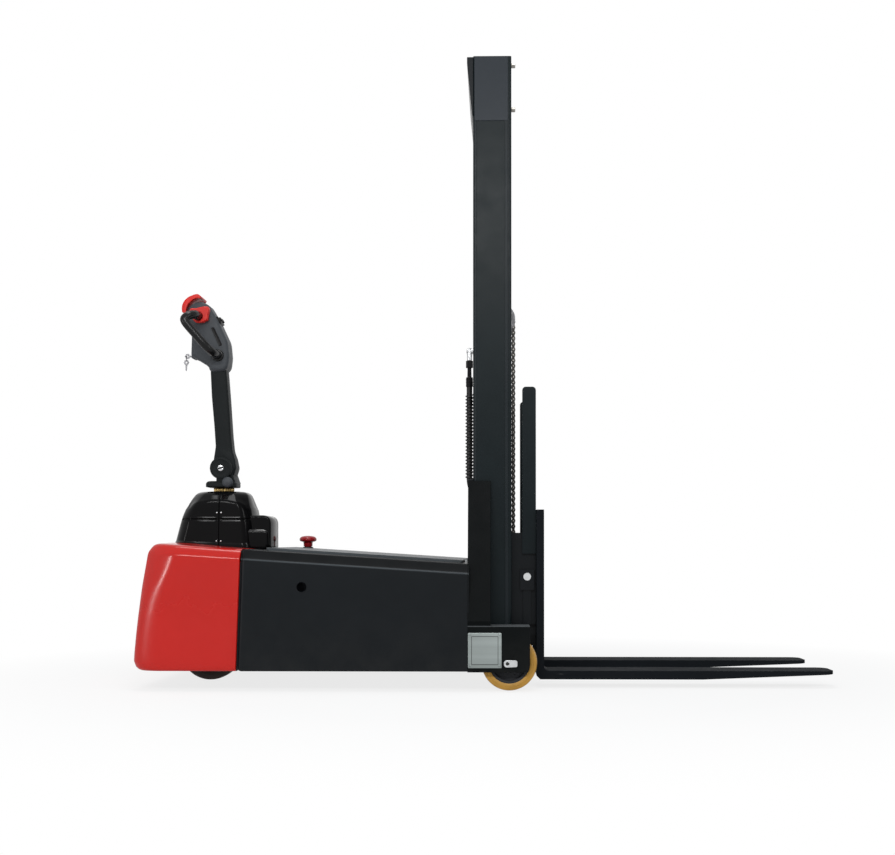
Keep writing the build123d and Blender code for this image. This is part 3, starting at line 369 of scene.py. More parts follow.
def finish(name, colour, rough, mottle, rub, grain, metal=0.0, spec=0.5, stretch=None, cells=False,
           wear=None, dust=None, fold=None, haze=None, polish=None):
    """Finish from noises on Object coordinates. A broad noise shades the colour, a middle one changes the
    roughness, a fine one raises the surface. Wear is a drawn-out noise above a level, in a colour
    of its own. Dust is a colour that fades with height and is broken by noise. A fold is a line that
    falls along X: a highlight is painted along it, and painted shade lies above it. Haze is a roughness
    that is added near the floor. Polish names the mesh attribute that holds the specular level."""
    made = bpy.data.materials.get(name + "_finish")
    if made:
        return made
    made = bpy.data.materials.new(name + "_finish")
    made.use_nodes = True
    tree = made.node_tree
    shader = tree.nodes["Principled BSDF"]
    place = node(tree, "ShaderNodeTexCoord").outputs["Object"]
    if haze or dust or fold:
        along, _, up = node(tree, "ShaderNodeSeparateXYZ", {0: place}).outputs
    faint, strong = 0.3, 0.7
    broad = ranged(tree, noise(tree, place, mottle[0], 5.0, stretch), faint, strong, 0.0, 1.0)
    shade = mixed(tree, broad, rgba(colour, 1 - mottle[1]), rgba(colour, 1 + mottle[1]))
    rubbed = noise(tree, place, rub[0], 6.0, stretch)
    roughness = ranged(tree, rubbed, faint, strong, rough - rub[1], rough + rub[1])
    if haze:
        low, high, amount = haze
        roughness = maths(tree, "ADD", roughness, ranged(tree, up, low, high, amount, 0.0))
    if wear:
        scale, drawn, level, worn = wear
        marks = ranged(tree, noise(tree, place, scale, 8.0, drawn, 0.68), level, level + 0.05, 0.0, 1.0)
        shade = mixed(tree, marks, shade, rgba(worn))
    if dust:
        low, high, amount, tint = dust
        cloud = ranged(tree, noise(tree, place, 14.0, 7.0), 0.35, 0.7, 0.15, 1.0)
        share = maths(tree, "MULTIPLY", ranged(tree, up, low, high, amount, 0.0), cloud)
        shade = mixed(tree, share, shade, rgba(tint))
    # Fold: a painted highlight along the line and painted shade in the band above it.
    if fold:
        slope, level, reach, highlight_tint, shade_level = fold
        height = maths(tree, "MULTIPLY_ADD", along, slope, up)
        shade = mixed(tree, ranged(tree, height, level, level + reach, 0.0, 1.0), shade, rgba(colour, shade_level))
        away = maths(tree, "ABSOLUTE", maths(tree, "SUBTRACT", height, level))
        shade = mixed(tree, ranged(tree, away, 0.0, reach, 1.0, 0.0), shade, rgba(highlight_tint))
    if cells:
        fine = node(tree, "ShaderNodeTexVoronoi", {"Vector": place, "Scale": grain[0]}).outputs[0]
    else:
        fine = noise(tree, place, grain[0], 3.0, stretch)
    bump = node(tree, "ShaderNodeBump", {"Strength": grain[1], "Distance": grain[2], "Height": fine})
    tree.links.new(shade, shader.inputs["Base Color"])
    tree.links.new(roughness, shader.inputs["Roughness"])
    tree.links.new(bump.outputs[0], shader.inputs["Normal"])
    shader.inputs["Metallic"].default_value = metal
    shader.inputs["Specular IOR Level"].default_value = spec
    if polish:
        level = node(tree, "ShaderNodeAttribute", attribute_name=polish).outputs["Fac"]
        tree.links.new(level, shader.inputs["Specular IOR Level"])
    return made


LOW_DUST = (0.06, 0.30, 0.035, (0.16, 0.15, 0.135))
LEG_TOP = 0.209
PAINT = {"spec": 0.11, "mottle": (3.0, 0.10), "rub": (18.0, 0.04), "grain": (520.0, 0.08, 0.0004)}
STEEL = {"metal": 1.0, "mottle": (30.0, 0.12), "rub": (90.0, 0.08), "grain": (900.0, 0.06, 0.0002)}
PLASTIC = {"spec": 0.3, "mottle": (8.0, 0.12), "rub": (60.0, 0.05), "grain": (1500.0, 0.3, 0.0003)}


def slot_finish(slot):
    """Finish of a material slot of the record, or of a coat that differs from its slot's finish."""
    tint = colours()
    lid_marks = (60.0, (0.2, 1.0, 1.0), 0.70, (0.13, 0.14, 0.15))
    fork_marks = (34.0, (0.08, 1.0, 1.0), 0.69, (0.20, 0.20, 0.205))
    # Painted highlight along the legs' top edge and painted shade above it.
    leg_edge_painted_light = (0.0, LEG_TOP, 0.0022, (0.085, 0.092, 0.098), 0.8)
    # Painted highlight along the chassis side's fold and painted shade on the bevel above it.
    side_fold_painted_light = (SLOPE, REAR_TOP + SLOPE * COVER_TOP_X - FOLD_DROP, 0.004, (0.034, 0.042, 0.048), 0.45)
    gloss = {"mottle": (9.0, 0.2), "rub": (30.0, 0.03), "grain": (90.0, 0.02, 0.0008)}
    red_skin = {"mottle": (2.2, 0.06), "grain": (240.0, 0.03, 0.0005)}
    table = {
        "frame_black": (tint.frame_black, 0.33, dict(PAINT, dust=LOW_DUST)),
        "chassis_black": (tint.frame_black, 0.33, dict(PAINT, dust=LOW_DUST, fold=side_fold_painted_light)),
        # Darker copy of the frame paint: painted shade on the legs and their gussets.
        "shaded_leg_black": ((0.0036, 0.0046, 0.0050), 0.42, dict(PAINT, spec=0.03, dust=LOW_DUST, fold=leg_edge_painted_light)),
        "mast_black": ((0.0066, 0.0106, 0.0122), 0.33, dict(PAINT, spec=0.09)),
        # Lighter copies of the mast paint: a painted highlight on the mast's edges and painted light on its
        # head plates.
        "highlight_mast_edge": ((0.0130, 0.0170, 0.0195), 0.33, dict(PAINT, spec=0.09)),
        "lit_mast_head": ((0.026, 0.031, 0.037), 0.33, dict(PAINT, spec=0.09)),
        # Grey lid paint is painted light on the lid's up-facing top.
        "lid_grey": (tint.lid_grey, 0.40, dict(PAINT, wear=lid_marks)),
        "cover_red": (tint.cover_red, 0.15, dict(PAINT, spec=0.3, haze=(0.20, 0.37, 0.22), **red_skin)),
        "hood_black": (tint.hood_black, 0.12, dict(PAINT, polish="polish", **gloss)),
        "fork_black": ((0.0100, 0.0115, 0.0135), 0.50, dict(PAINT, spec=0.003, wear=fork_marks)),
        "zinc": ((0.50, 0.51, 0.52), 0.36, dict(STEEL, cells=True, grain=(160.0, 0.12, 0.0003))),
        "chrome": ((0.80, 0.80, 0.82), 0.10, dict(STEEL, stretch=(1.0, 1.0, 0.05))),
        "dark_steel": ((0.11, 0.11, 0.115), 0.42, dict(STEEL, mottle=(120.0, 0.35))),
        "chain_steel": ((0.045, 0.044, 0.042), 0.44, dict(STEEL, mottle=(150.0, 0.6))),
        "pin_steel": ((0.26, 0.25, 0.23), 0.36, STEEL),
        "key_steel": ((0.20, 0.20, 0.21), 0.30, dict(STEEL, mottle=(200.0, 0.35), rub=(300.0, 0.08),
                                                     grain=(650.0, 0.12, 0.0003))),
        "fitting_black": ((0.010, 0.010, 0.011), 0.40, dict(PAINT, spec=0.06)),
        "roller_steel": ((0.35, 0.35, 0.36), 0.30, dict(STEEL, stretch=(1.0, 0.05, 1.0))),
        "cast_parts": ((0.030, 0.031, 0.034), 0.60, dict(PAINT, grain=(180.0, 0.5, 0.0012), cells=True)),
        "polyurethane": (tint.tread_ochre, 0.40, dict(PLASTIC, spec=0.4, mottle=(16.0, 0.14),
                                                      grain=(420.0, 0.12, 0.0004))),
        "drive_rubber": ((0.020, 0.010, 0.008), 0.62, dict(PLASTIC, grain=(600.0, 0.4, 0.0005))),
        "battery_case": ((0.020, 0.026, 0.046), 0.48, PLASTIC),
        "tank_plastic": ((0.50, 0.49, 0.44), 0.42, PLASTIC),
        "controller_case": ((0.026, 0.026, 0.028), 0.40, dict(PLASTIC, cells=True,
                                                              grain=(300.0, 0.2, 0.0005))),
        "brass": ((0.30, 0.21, 0.085), 0.30, STEEL),
        "tiller_paint": ((0.0125, 0.0145, 0.0150), 0.46, dict(PAINT, spec=0.05)),
        "head_grey": (tint.head_grey, 0.52, dict(PLASTIC, cells=True)),
        "grip_black": ((0.0035, 0.0038, 0.0042), 0.26, dict(PLASTIC, spec=0.2, grain=(700.0, 0.05, 0.0003))),
        "control_red": (tint.control_red, 0.40, dict(PLASTIC, spec=0.2, rub=(60.0, 0.02),
                                                     grain=(900.0, 0.015, 0.0002))),
        "switch_red": ((0.30, 0.007, 0.011), 0.24, dict(PLASTIC, mottle=(20.0, 0.12), rub=(26.0, 0.07),
                                                        grain=(900.0, 0.06, 0.0003))),
        "control_black": ((0.0045, 0.0045, 0.0050), 0.38, dict(PLASTIC, spec=0.12)),
        "aluminium": ((0.25, 0.28, 0.275), 0.40, dict(STEEL, stretch=(0.03, 1.0, 1.0))),
        "hose_rubber": ((0.0060, 0.0060, 0.0062), 0.50, PLASTIC),
        "guard_plastic": ((0.0045, 0.0045, 0.0050), 0.34, PLASTIC),
    }
    colour, rough, words = table[slot]
    return finish(slot, colour, rough, **words)


class STACKER_OT_stage(Operator):
    """Pale floor, soft studio light and the camera at the picture's place"""

    bl_idname = "stacker.stage"
    bl_label = "Stage"

    def lamp(self, name, place, aim, power, wide, high):
        """Soft rectangular lamp aimed at a point."""
        data = bpy.data.lights.new(name, "AREA")
        data.shape = "RECTANGLE"
        data.size = wide
        data.size_y = high
        data.energy = power
        made = bpy.data.objects.new(name, data)
        bpy.context.scene.collection.objects.link(made)
        made.location = place
        way = Vector(aim) - Vector(place)
        made.rotation_euler = way.to_track_quat("-Z", "Y").to_euler()

    def seen(self, tree):
        """Share that is one for rays that show the background: camera, glossy and transmission rays."""
        path = node(tree, "ShaderNodeLightPath").outputs
        both = maths(tree, "MAXIMUM", path["Is Camera Ray"], path["Is Glossy Ray"])
        return maths(tree, "MAXIMUM", both, path["Is Transmission Ray"])

    def floor(self, colour):
        """Round floor in rings, whose paper turns white away from the machine."""
        radius = np.array([0.02, 1.0, 2.0, 4.0, 8.0, 40.0])[:, None]
        turn = circle(96)
        rings = np.zeros((len(radius), len(turn), 3))
        rings[..., 0] = radius * np.cos(turn)
        rings[..., 1] = radius * np.sin(turn)
        rings[..., 2] = -0.0005
        faces = ring_faces(rings, caps=False)
        faces.append(list(range(len(turn))))
        mesh = bpy.data.meshes.new("floor")
        mesh.from_pydata(rings.reshape(-1, 3).tolist(), [], faces)
        floor = bpy.data.objects.new("floor", mesh)
        bpy.context.scene.collection.objects.link(floor)
        paper = bpy.data.materials.new("floor_paper")
        paper.use_nodes = True
        tree = paper.node_tree
        place = node(tree, "ShaderNodeTexCoord").outputs["Object"]
        away = node(tree, "ShaderNodeVectorMath", {0: place}, operation="LENGTH").outputs["Value"]
        near, far, least = 1.1, 2.2, 0.80
        white = ranged(tree, away, near, far, least, 1.0)
        share = maths(tree, "MULTIPLY", white, self.seen(tree))
        dull = node(tree, "ShaderNodeBsdfDiffuse", {0: rgba(colour)}).outputs[0]
        light = node(tree, "ShaderNodeEmission", {0: (1.0, 1.0, 1.0, 1.0), 1: 1.0}).outputs[0]
        blend = node(tree, "ShaderNodeMixShader", {0: share, 1: dull, 2: light}).outputs[0]
        tree.links.new(blend, tree.nodes["Material Output"].inputs[0])
        mesh.materials.append(paper)
        return floor

    def execute(self, context):
        scene = context.scene
        stage = scene.stacker_stage
        scene.view_settings.view_transform = "Standard"
        floor = self.floor(stage.floor)
        world = scene.world or bpy.data.worlds.new("studio")
        scene.world = world
        world.use_nodes = True
        tree = world.node_tree
        room = node(tree, "ShaderNodeBackground", {0: (0.9, 0.95, 1.0, 1.0), 1: 0.32}).outputs[0]
        back = node(tree, "ShaderNodeBackground", {0: (1.0, 1.0, 1.0, 1.0), 1: 1.0}).outputs[0]
        both = node(tree, "ShaderNodeMixShader", {0: self.seen(tree), 1: room, 2: back}).outputs[0]
        tree.links.new(both, tree.nodes["World Output"].inputs[0])
        self.lamp("lamp_over", (-0.5, -0.4, 4.6), (-0.1, 0.0, 0.5), stage.key_power, 3.0, 1.2)
        self.lamp("lamp_strip", (-0.4, -4.7, 2.7), (-0.3, 0.0, 0.5), stage.strip_power, 4.0, 0.28)
        self.lamp("lamp_left", (-4.2, -3.0, 0.9), (-0.8, -0.2, 0.45), stage.side_power, 0.30, 1.6)
        self.lamp("lamp_right", (4.0, -2.4, 2.4), (0.3, 0.0, 0.9), stage.side_power, 0.35, 1.4)
        data = bpy.data.cameras.new("camera")
        data.lens = stage.lens
        data.sensor_width = 36.0
        data.shift_x = stage.shift_x
        data.shift_y = stage.shift_y
        camera = bpy.data.objects.new("camera", data)
        scene.collection.objects.link(camera)
        camera.location = (stage.camera_x, -stage.camera_away, stage.camera_height)
        camera.rotation_euler = (math.pi / 2 + stage.camera_pitch, 0.0, stage.camera_yaw)
        scene.camera = camera
        return {"FINISHED"}


PLATE_NODES = (
    "mast_channels", "mast_crossbeams", "right_leg", "left_leg", "carriage_frame", "backrest", "right_fork",
    "left_fork", "battery_lid", "fork_shaft", "drive_frame", "drive_gearbox", "crosshead", "cylinder_gland",
    "lid_hinges", "mast_chain_anchors",
)
NODE_COATS = {
    # The legs take the darker copy of the frame paint, which is painted shade.
    "right_leg": "shaded_leg_black",
    "left_leg": "shaded_leg_black",
    "mast_channels": "mast_black",
    "backrest": "mast_black",
}


class STACKER_OT_frame_finish(Operator):
    """Finishes on the plates, castings and turned parts that keep their CAD shape"""

    bl_idname = "stacker.frame_finish"
    bl_label = "Frame finishes"

    def execute(self, context):
        for part in frame["record"]["subparts"]:
            name = part["node"]
            data = frame["nodes"][name].data
            data.materials.clear()
            data.materials.append(slot_finish(NODE_COATS.get(name, part["material_slot"])))
        for name in PLATE_NODES:
            shown = frame["nodes"][name]
            weld = shown.modifiers.new("weld", "WELD")
            weld.merge_threshold = 1e-5
            bevel = shown.modifiers.new("edge", "BEVEL")
            bevel.width = sizes().edge
            bevel.segments = 2
            bevel.limit_method = "ANGLE"
            bevel.angle_limit = math.radians(40)
            bevel.harden_normals = True
        return {"FINISHED"}


# Chassis, rear cover and hood


REAR_X, COVER_TOP_X, FRONT_X = -1.140, -1.092, -0.059
REAR_TOP, FLOOR_GAP, CHIN = 0.475, 0.064, 0.094
SIDE, SLOPE = 0.400, 0.066 / 1.033
SEAM_LOW, SEAM_LEAN, SEAM_RISE = -0.800, 0.014, 0.392
HOLE_X, HOLE_Z, HOLE_R = -0.590, 0.334, 0.016
HOLE_REACH, HOLE_CELLS = 0.024, 8
FOLD_DROP, FOLD_STEPS = 0.032, 6
TABLE_UNITS = (1000, 1000, 1000, 1000, 1)


def top_at(x):
    """Height of the sloping top: it falls evenly from the rear to the mast."""
    return REAR_TOP - SLOPE * (x - COVER_TOP_X)


def seam_at(z):
    """Place of the leaning seam between cover and chassis at a height."""
    return SEAM_LOW + SEAM_LEAN * (z - FLOOR_GAP) / SEAM_RISE


def power_corner(end, half, long, deep, turn, power):
    """Corner between an end and a side: x = end + long (1 - sin^(2/power)),
    y = half - deep (1 - cos^(2/power))."""
    x = end + long * (1 - np.sin(turn) ** (2 / power))
    y = half - deep * (1 - np.cos(turn) ** (2 / power))
    return x, y


def holed_grid(rings, blocks):
    """Open grid with round holes. Each block of cells is left out, and quads run from its border to a
    circle whose points lie on the rays from the hole's middle to the border's points."""
    count, around = rings.shape[:2]
    index = np.arange(count * around).reshape(count, around)
    keep = np.ones((count - 1, around - 1), bool)
    points, faces = [rings.reshape(-1, 3)], []
    start = count * around
    for i, j, middle in blocks:
        i_end, j_end = i + HOLE_CELLS, j + HOLE_CELLS
        keep[i:i_end, j:j_end] = False
        border = np.concatenate([
            index[i, j:j_end], index[i:i_end, j_end], index[i_end, j_end:j:-1], index[i_end:i:-1, j],
        ])
        points.append(middle + HOLE_R * unit(points[0][border] - middle))
        inner = start + np.arange(len(border))
        faces += np.stack([border, np.roll(border, -1), np.roll(inner, -1), inner], axis=1).tolist()
        start += len(border)
    quads = np.stack([index[:-1, :-1], index[:-1, 1:], index[1:, 1:], index[1:, :-1]], axis=-1)
    return np.concatenate(points), quads[keep].tolist() + faces


class STACKER_OT_chassis(Operator):
    """Folded chassis box with its sloping top frame and the round hole in each side"""

    bl_idname = "stacker.chassis"
    bl_label = "Chassis box"

    def section(self, top):
        """The box's cross section: half of it from the top frame's edge to the middle of the floor, then its
        mirror image."""
        corners = [(0.0, top), (0.385, top), (SIDE, top - FOLD_DROP), (SIDE, FLOOR_GAP), (0.0, FLOOR_GAP)]
        radii = (0.0, 0.007, 2.4 * sizes().fold, 0.006, 0.0)
        cut = corner_cut(corners, radii, FOLD_STEPS)[FOLD_STEPS:-FOLD_STEPS]
        heights = HOLE_Z + np.linspace(HOLE_REACH, -HOLE_REACH, HOLE_CELLS + 1)
        side = np.stack([np.full(len(heights), SIDE), heights], axis=1)
        half = np.insert(cut, 2 * FOLD_STEPS, side, axis=0)
        return np.concatenate([half, half[::-1] * (-1.0, 1.0)])

    def seam_lips(self):
        """Strip behind the seam on each side, so that nothing shows through it."""
        high = np.linspace(FLOOR_GAP + 0.008, FLOOR_GAP + 0.350, 8)
        ahead = np.stack([seam_at(high) + 0.004, high], axis=1)
        behind = np.stack([seam_at(high) - 0.016, high], axis=1)
        strip = prism(np.concatenate([ahead, behind[::-1]]), mm((0, -390.5), (0, -388.5)))
        piece("seam_lips", "chassis", "frame_black", pair(strip))

    def execute(self, context):
        gap, long, lean_reach = 0.003, FRONT_X - SEAM_LOW, 0.12
        ends = [self.section(top_at(x)) for x in (SEAM_LOW, FRONT_X)]
        # distance from the seam and inset of the section, where the edge turns in
        lip = mm((0, 16), (0, 12), (0.6, 9), (2.2, 5.5), (5, 2.6), (9, 0.8), (14, 0)) + (gap, 0.0)
        before = np.linspace(0.04, 0.165, 5)
        beside = HOLE_X - SEAM_LOW + np.linspace(-HOLE_REACH, HOLE_REACH, HOLE_CELLS + 1)
        along = np.concatenate([lip[:, 0], before, beside, np.linspace(0.28, long, 8)])
        inset = np.zeros((len(along), 1, 1))
        inset[:len(lip), 0, 0] = lip[:, 1]
        share = (along / long)[:, None, None]
        flat = ends[0] * (1 - share) + ends[1] * share + inward(ends[0]) * inset
        lean = (seam_at(flat[..., 1]) - SEAM_LOW) * np.clip(1 - along / lean_reach, 0, 1)[:, None]
        rings = np.stack([SEAM_LOW + along[:, None] + lean, flat[..., 0], flat[..., 1]], axis=-1)
        start = len(lip) + len(before)
        near = 2 * FOLD_STEPS
        far = rings.shape[1] - near - HOLE_CELLS - 1
        blocks = [(start, near, (HOLE_X, SIDE, HOLE_Z)), (start, far, (HOLE_X, -SIDE, HOLE_Z))]
        edge = ends[0][0, 0]
        opening = rect(-0.681, -0.316, -0.089, 0.316)
        deck = np.stack([opening, rect(-0.783, -edge, FRONT_X, edge)])
        deck = np.concatenate([deck, top_at(deck[..., :1])], axis=-1)
        shells = [holed_grid(rings, blocks), (deck, {"caps": False})]
        for x, end in ((SEAM_LOW + 0.02, ends[0]), (FRONT_X - 0.001, ends[1])):
            wall = np.insert(end + 0.006 * inward(end), 0, x, axis=1)
            shells.append((wall, [list(range(len(wall)))]))
        piece("chassis_box", "chassis", "frame_black", shells, ["chassis_frame"], "chassis_black",
              wall=0.005)
        self.seam_lips()
        return {"FINISHED"}


class STACKER_OT_rear_cover(Operator):
    """Red rear cover: leaning back, folded along its top and round its corners"""

    bl_idname = "stacker.rear_cover"
    bl_label = "Rear cover"

    def execute(self, context):
        # height above the floor, inset of the sides, inset of the back, corner length, corner power
        rows = [
            (64, 12, 34, 70, 2.0), (64.5, 6, 26, 76, 2.0), (68, 2, 17, 82, 2.0), (76, 0, 8, 86, 2.0),
            (94, 0, 1, 88, 2.0), (120, 0, -1, 88, 2.0), (180, 0, -3, 88, 2.0), (240, 0, -4, 87, 1.9),
            (290, 0, -4, 86, 1.7), (330, 0, -4, 86, 1.45), (370, 0, -3, 92, 1.3), (400, 0, -2, 96, 1.25),
            (434, 0, -1, 100, 1.22), (438, 0.1, -0.6, 100, 1.22), (442, 0.7, 0, 100, 1.22),
            (446, 1.9, 0.8, 99, 1.22), (450, 3.8, 2.2, 98, 1.24), (456, 7.8, 5.2, 95, 1.3),
            (463, 13, 9.4, 90, 1.4), (468, 17.8, 13.8, 84, 1.5), (471.5, 23, 20, 78, 1.6),
            (473.8, 29.5, 28, 70, 1.7), (475, 38, 37, 60, 1.8), (475, 100, 42, 50, 2.0),
            (475, 200, 45, 30, 2.0), (475, 288, 47, 20, 2.0), (469, 289, 48, 20, 2.0),
        ]
        height, side, back, radius, power = (np.array(rows) / TABLE_UNITS).T[..., None]
        lean = (COVER_TOP_X - REAR_X) * np.clip((height - CHIN) / (REAR_TOP - CHIN), 0, 1)
        rear = REAR_X + lean + back
        half = SIDE - side
        depth = 0.52 * radius
        share = (height - FLOOR_GAP) / (REAR_TOP - FLOOR_GAP)
        seam = seam_at(FLOOR_GAP + share * SEAM_RISE) - 0.003
        out_x = seam + (rear + radius - seam) * np.linspace(0, 1, 12, endpoint=False)
        out_y = np.broadcast_to(half, out_x.shape)
        bend_x, bend_y = power_corner(rear, half, radius, depth, np.linspace(0, math.pi / 2, 22), power)
        over_y = (half - depth) * np.linspace(1, 0, 12)[1:]
        over_x = np.broadcast_to(rear, over_y.shape)
        x = np.concatenate([out_x, bend_x, over_x], axis=1)
        y = np.concatenate([out_y, bend_y, over_y], axis=1)
        x = np.concatenate([x, x[:, -2::-1]], axis=1)
        y = np.concatenate([y, -y[:, -2::-1]], axis=1)
        crown_low, crown_front, crown_rise = 0.460, -0.88, 0.0045
        crown = np.clip((height - crown_low) / 0.015, 0, 1) * np.clip((crown_front - x) / 0.12, 0, 1)
        crown = crown * (1 - (y / SIDE) ** 2)
        z = FLOOR_GAP + share * (top_at(x) - FLOOR_GAP) + crown_rise * crown
        rings = np.stack([x, y, z], axis=-1)
        lip = rings[:, [0, -1]] * (1.0, 0.985, 1.0) + (0.0018, 0.0, 0.0)
        rings = np.concatenate([lip[:, :1], rings, lip[:, 1:]], axis=1)
        piece("rear_cover_shell", "chassis", "cover_red", [(rings, {"closed": False})], ["rear_cover"],
              sharp=50.0, wall=0.004)
        return {"FINISHED"}


class STACKER_OT_hood(Operator):
    """Two-tier gloss hood over the drive unit, the step in front of it and its lower ledges"""

    bl_idname = "stacker.hood"
    bl_label = "Hood"

    def dome(self):
        """Closed rings: rectangles with power-law corners that shrink towards the crown. A slot runs
        round the middle and stops short of the upright parting line, the bevel dips at its corners."""
        # height, rear, front, half width, dip of the bevel
        rows = np.array([
            (460, -1072, -796, 119, 0), (472, -1072, -796, 119, 0), (476.5, -1070, -798, 117.5, 0),
            (480, -1069.2, -798.3, 117.3, 0), (540, -1055.5, -803.5, 113.7, 0),
            (565, -1048.6, -806.8, 112.2, 0), (595, -1038.5, -811, 110.4, 0.3),
            (613, -1031.8, -815.5, 109.3, 0.8), (615, -1031, -816, 109.05, 0.85),
            (621.5, -1028.3, -817.8, 107.6, 1), (623.5, -1027.3, -818.6, 106.6, 1),
            (625.5, -1026.2, -819.2, 104.6, 1), (628, -1024.6, -820.4, 101.8, 1),
            (637, -1017.5, -824.6, 92.6, 0.9), (644, -1010, -829, 85, 0.6), (648.5, -1003, -834, 78, 0.4),
            (651.5, -995, -840.5, 70, 0.2), (653, -985, -849, 60, 0), (653.5, -974, -858, 48, 0),
        ]) / TABLE_UNITS
        # height and share of the slot's depth: two narrow lips with a groove between them
        cut = np.array([
            (547, 0), (549, 0), (549.4, 0.01), (551.4, 0.055), (553.4, 0.1), (553.8, 0.2), (554.6, 0.8),
            (555.2, 1), (558.2, 1), (558.8, 0.8), (559.6, 0.1), (560.2, -0.09), (560.8, -0.105),
            (561.2, -0.1), (563, -0.05), (564.8, -0.004), (565.2, 0), (567.2, 0),
        ]) / (1000, 1)
        low, power, seam = 0.460, 1.5, -0.915
        line_deep, line_wide, slot_deep, slot_short, dip_deep = 0.0022, 0.0011, 0.006, 0.008, 0.022
        height = np.unique(np.concatenate([rows[:, 0], cut[:, 0]]))
        columns = [np.interp(height, rows[:, 0], column) for column in rows.T[1:]]
        rear, front, half, dip = np.array(columns)[..., None]
        slot = np.interp(height, *cut.T)[:, None]
        height = height[:, None]
        radius = np.minimum(0.040, 0.6 * half)
        turn = np.linspace(0, math.pi / 2, 15)
        out = mm(0.5, 1.5, 3, 6, 10, 14, 18, 22, 26, 30)
        near = seam + np.concatenate([-out[::-1], [0.0], out])
        flat_x = np.broadcast_to(near, (len(height), len(near)))
        flat_y = np.broadcast_to(half, flat_x.shape)
        first_x, first_y = power_corner(rear, half, radius, radius, turn[::-1], power)
        last_x, last_y = power_corner(front, half, -radius, radius, turn, power)
        x = np.concatenate([first_x, flat_x, last_x], axis=1)
        y = np.concatenate([first_y, flat_y, last_y], axis=1)
        away = x - seam
        y = y - line_deep * np.exp(-((away / line_wide) ** 2))
        pressed = slot * slot_deep * (1 - np.exp(-((away / slot_short) ** 4)))
        y = y - pressed * (y > 0.75 * half)
        corner = np.clip(np.abs(away + 0.006) / 0.10, 0, 1) ** 2.5 * np.clip((y - 0.030) / 0.055, 0, 1)
        fall = dip_deep * dip * corner
        x = np.concatenate([x, x[:, ::-1]], axis=1)
        y = np.concatenate([y, -y[:, ::-1]], axis=1)
        fall = np.concatenate([fall, fall[:, ::-1]], axis=1)
        level = np.clip((height - low) / 0.04, 0, 1)
        z = (top_at(x) - 0.004 + (height - low)) * (1 - level) + height * level - fall
        return np.stack([x, y, z], axis=-1)

    def block(self, outline, half, edge, steps):
        """Block with rounded edges and one more row inside each face, which keeps it flat."""
        inset = edge + 0.002
        rows = soft_rows(-half, half, edge, steps)
        return prism(outline, np.concatenate([[(inset, -half)], rows, [(inset, half)]]))

    def polish(self, made, glint):
        """Specular level as an attribute: it falls where the normal turns forwards, and rises to the
        glint where the normal turns up below the step's top."""
        side, front, ledge_top, start, span = 0.085, 0.014, 0.530, 0.2, 0.6
        mesh = made.data
        turned_x, _, turned_z = np.clip((corners_of(mesh, "normal").T - start) / span, 0, 1)
        upward = turned_z * (corners_of(mesh, "co")[:, 2] < ledge_top)
        level = side + (front - side) * turned_x
        level = level + (glint - level) * upward * (1 - turned_x)
        mesh.attributes.new("polish", "FLOAT", "POINT").data.foreach_set("value", level)

    def execute(self, context):
        ledge = corner_cut(mm((-830, 452), (-830, 522.5), (-748, 522.5), (-745, 450)), 0.020, 6)
        shells = [self.dome(), self.block(ledge, 0.101, 0.011, 6)]
        made = piece("hood_dome_shell", "chassis", "hood_black", shells, ["hood_dome"], sharp=32.0)
        self.polish(made, 0.9)
        step = mm((-850, 450), (-850, 570.5), (-742.5, 570.5), (-742, 448))
        step = self.block(corner_cut(step, mm(15, 15, 30, 15), 10), 0.085, 0.007, 5)
        made = piece("hood_step_shell", "chassis", "hood_black", [step], ["hood_step"])
        self.polish(made, 0.085)
        screw = mm((2.6, -1), (2.6, 0.8), (2, 1.4), (0.8, 1.6))
        shells = []
        for x in (-0.9225, -0.9075):
            for z, y in ((0.5790, 0.1112), (0.4815, 0.1170)):
                shells += pair(lathe(screw + (0.0, y), (x, 0.0, z), 1, 16))
        piece("hood_screws", "chassis", "zinc", shells)
        return {"FINISHED"}


# Tiller: bracket, arm, head and its controls


PIVOT_X, PIVOT_Z = -0.920, 0.734
PIVOT = (PIVOT_X, 0.0, PIVOT_Z)
ORIGIN = (0.0, 0.0, 0.0)
BAR_X, BAR_Z = -0.999, 1.259
PRESS_WAY = (0.855, 0.0, 0.518)


def from_pivot(*points):
    """Points given in millimetres from the tiller's pivot, in metres in the machine's frame."""
    return mm(*points) + (PIVOT_X, PIVOT_Z)


def turned(rings, way, place):
    """Rings made upright about the origin, leaned over so that their axis points along a way in the
    side plane, then moved to a place: x becomes the way's normal, z the way itself."""
    along = np.asarray(way, float) / np.linalg.norm(way)
    axes = np.array([(along[2], 0.0, -along[0]), (0.0, 1.0, 0.0), along])
    return rings @ axes + place


def disc_rows(radius, low, high, edge):
    """Profile of a disc with rounded rims, for a lathe."""
    rows = soft_rows(low, high, edge)
    return np.stack([radius - rows[:, 0], rows[:, 1]], axis=1)


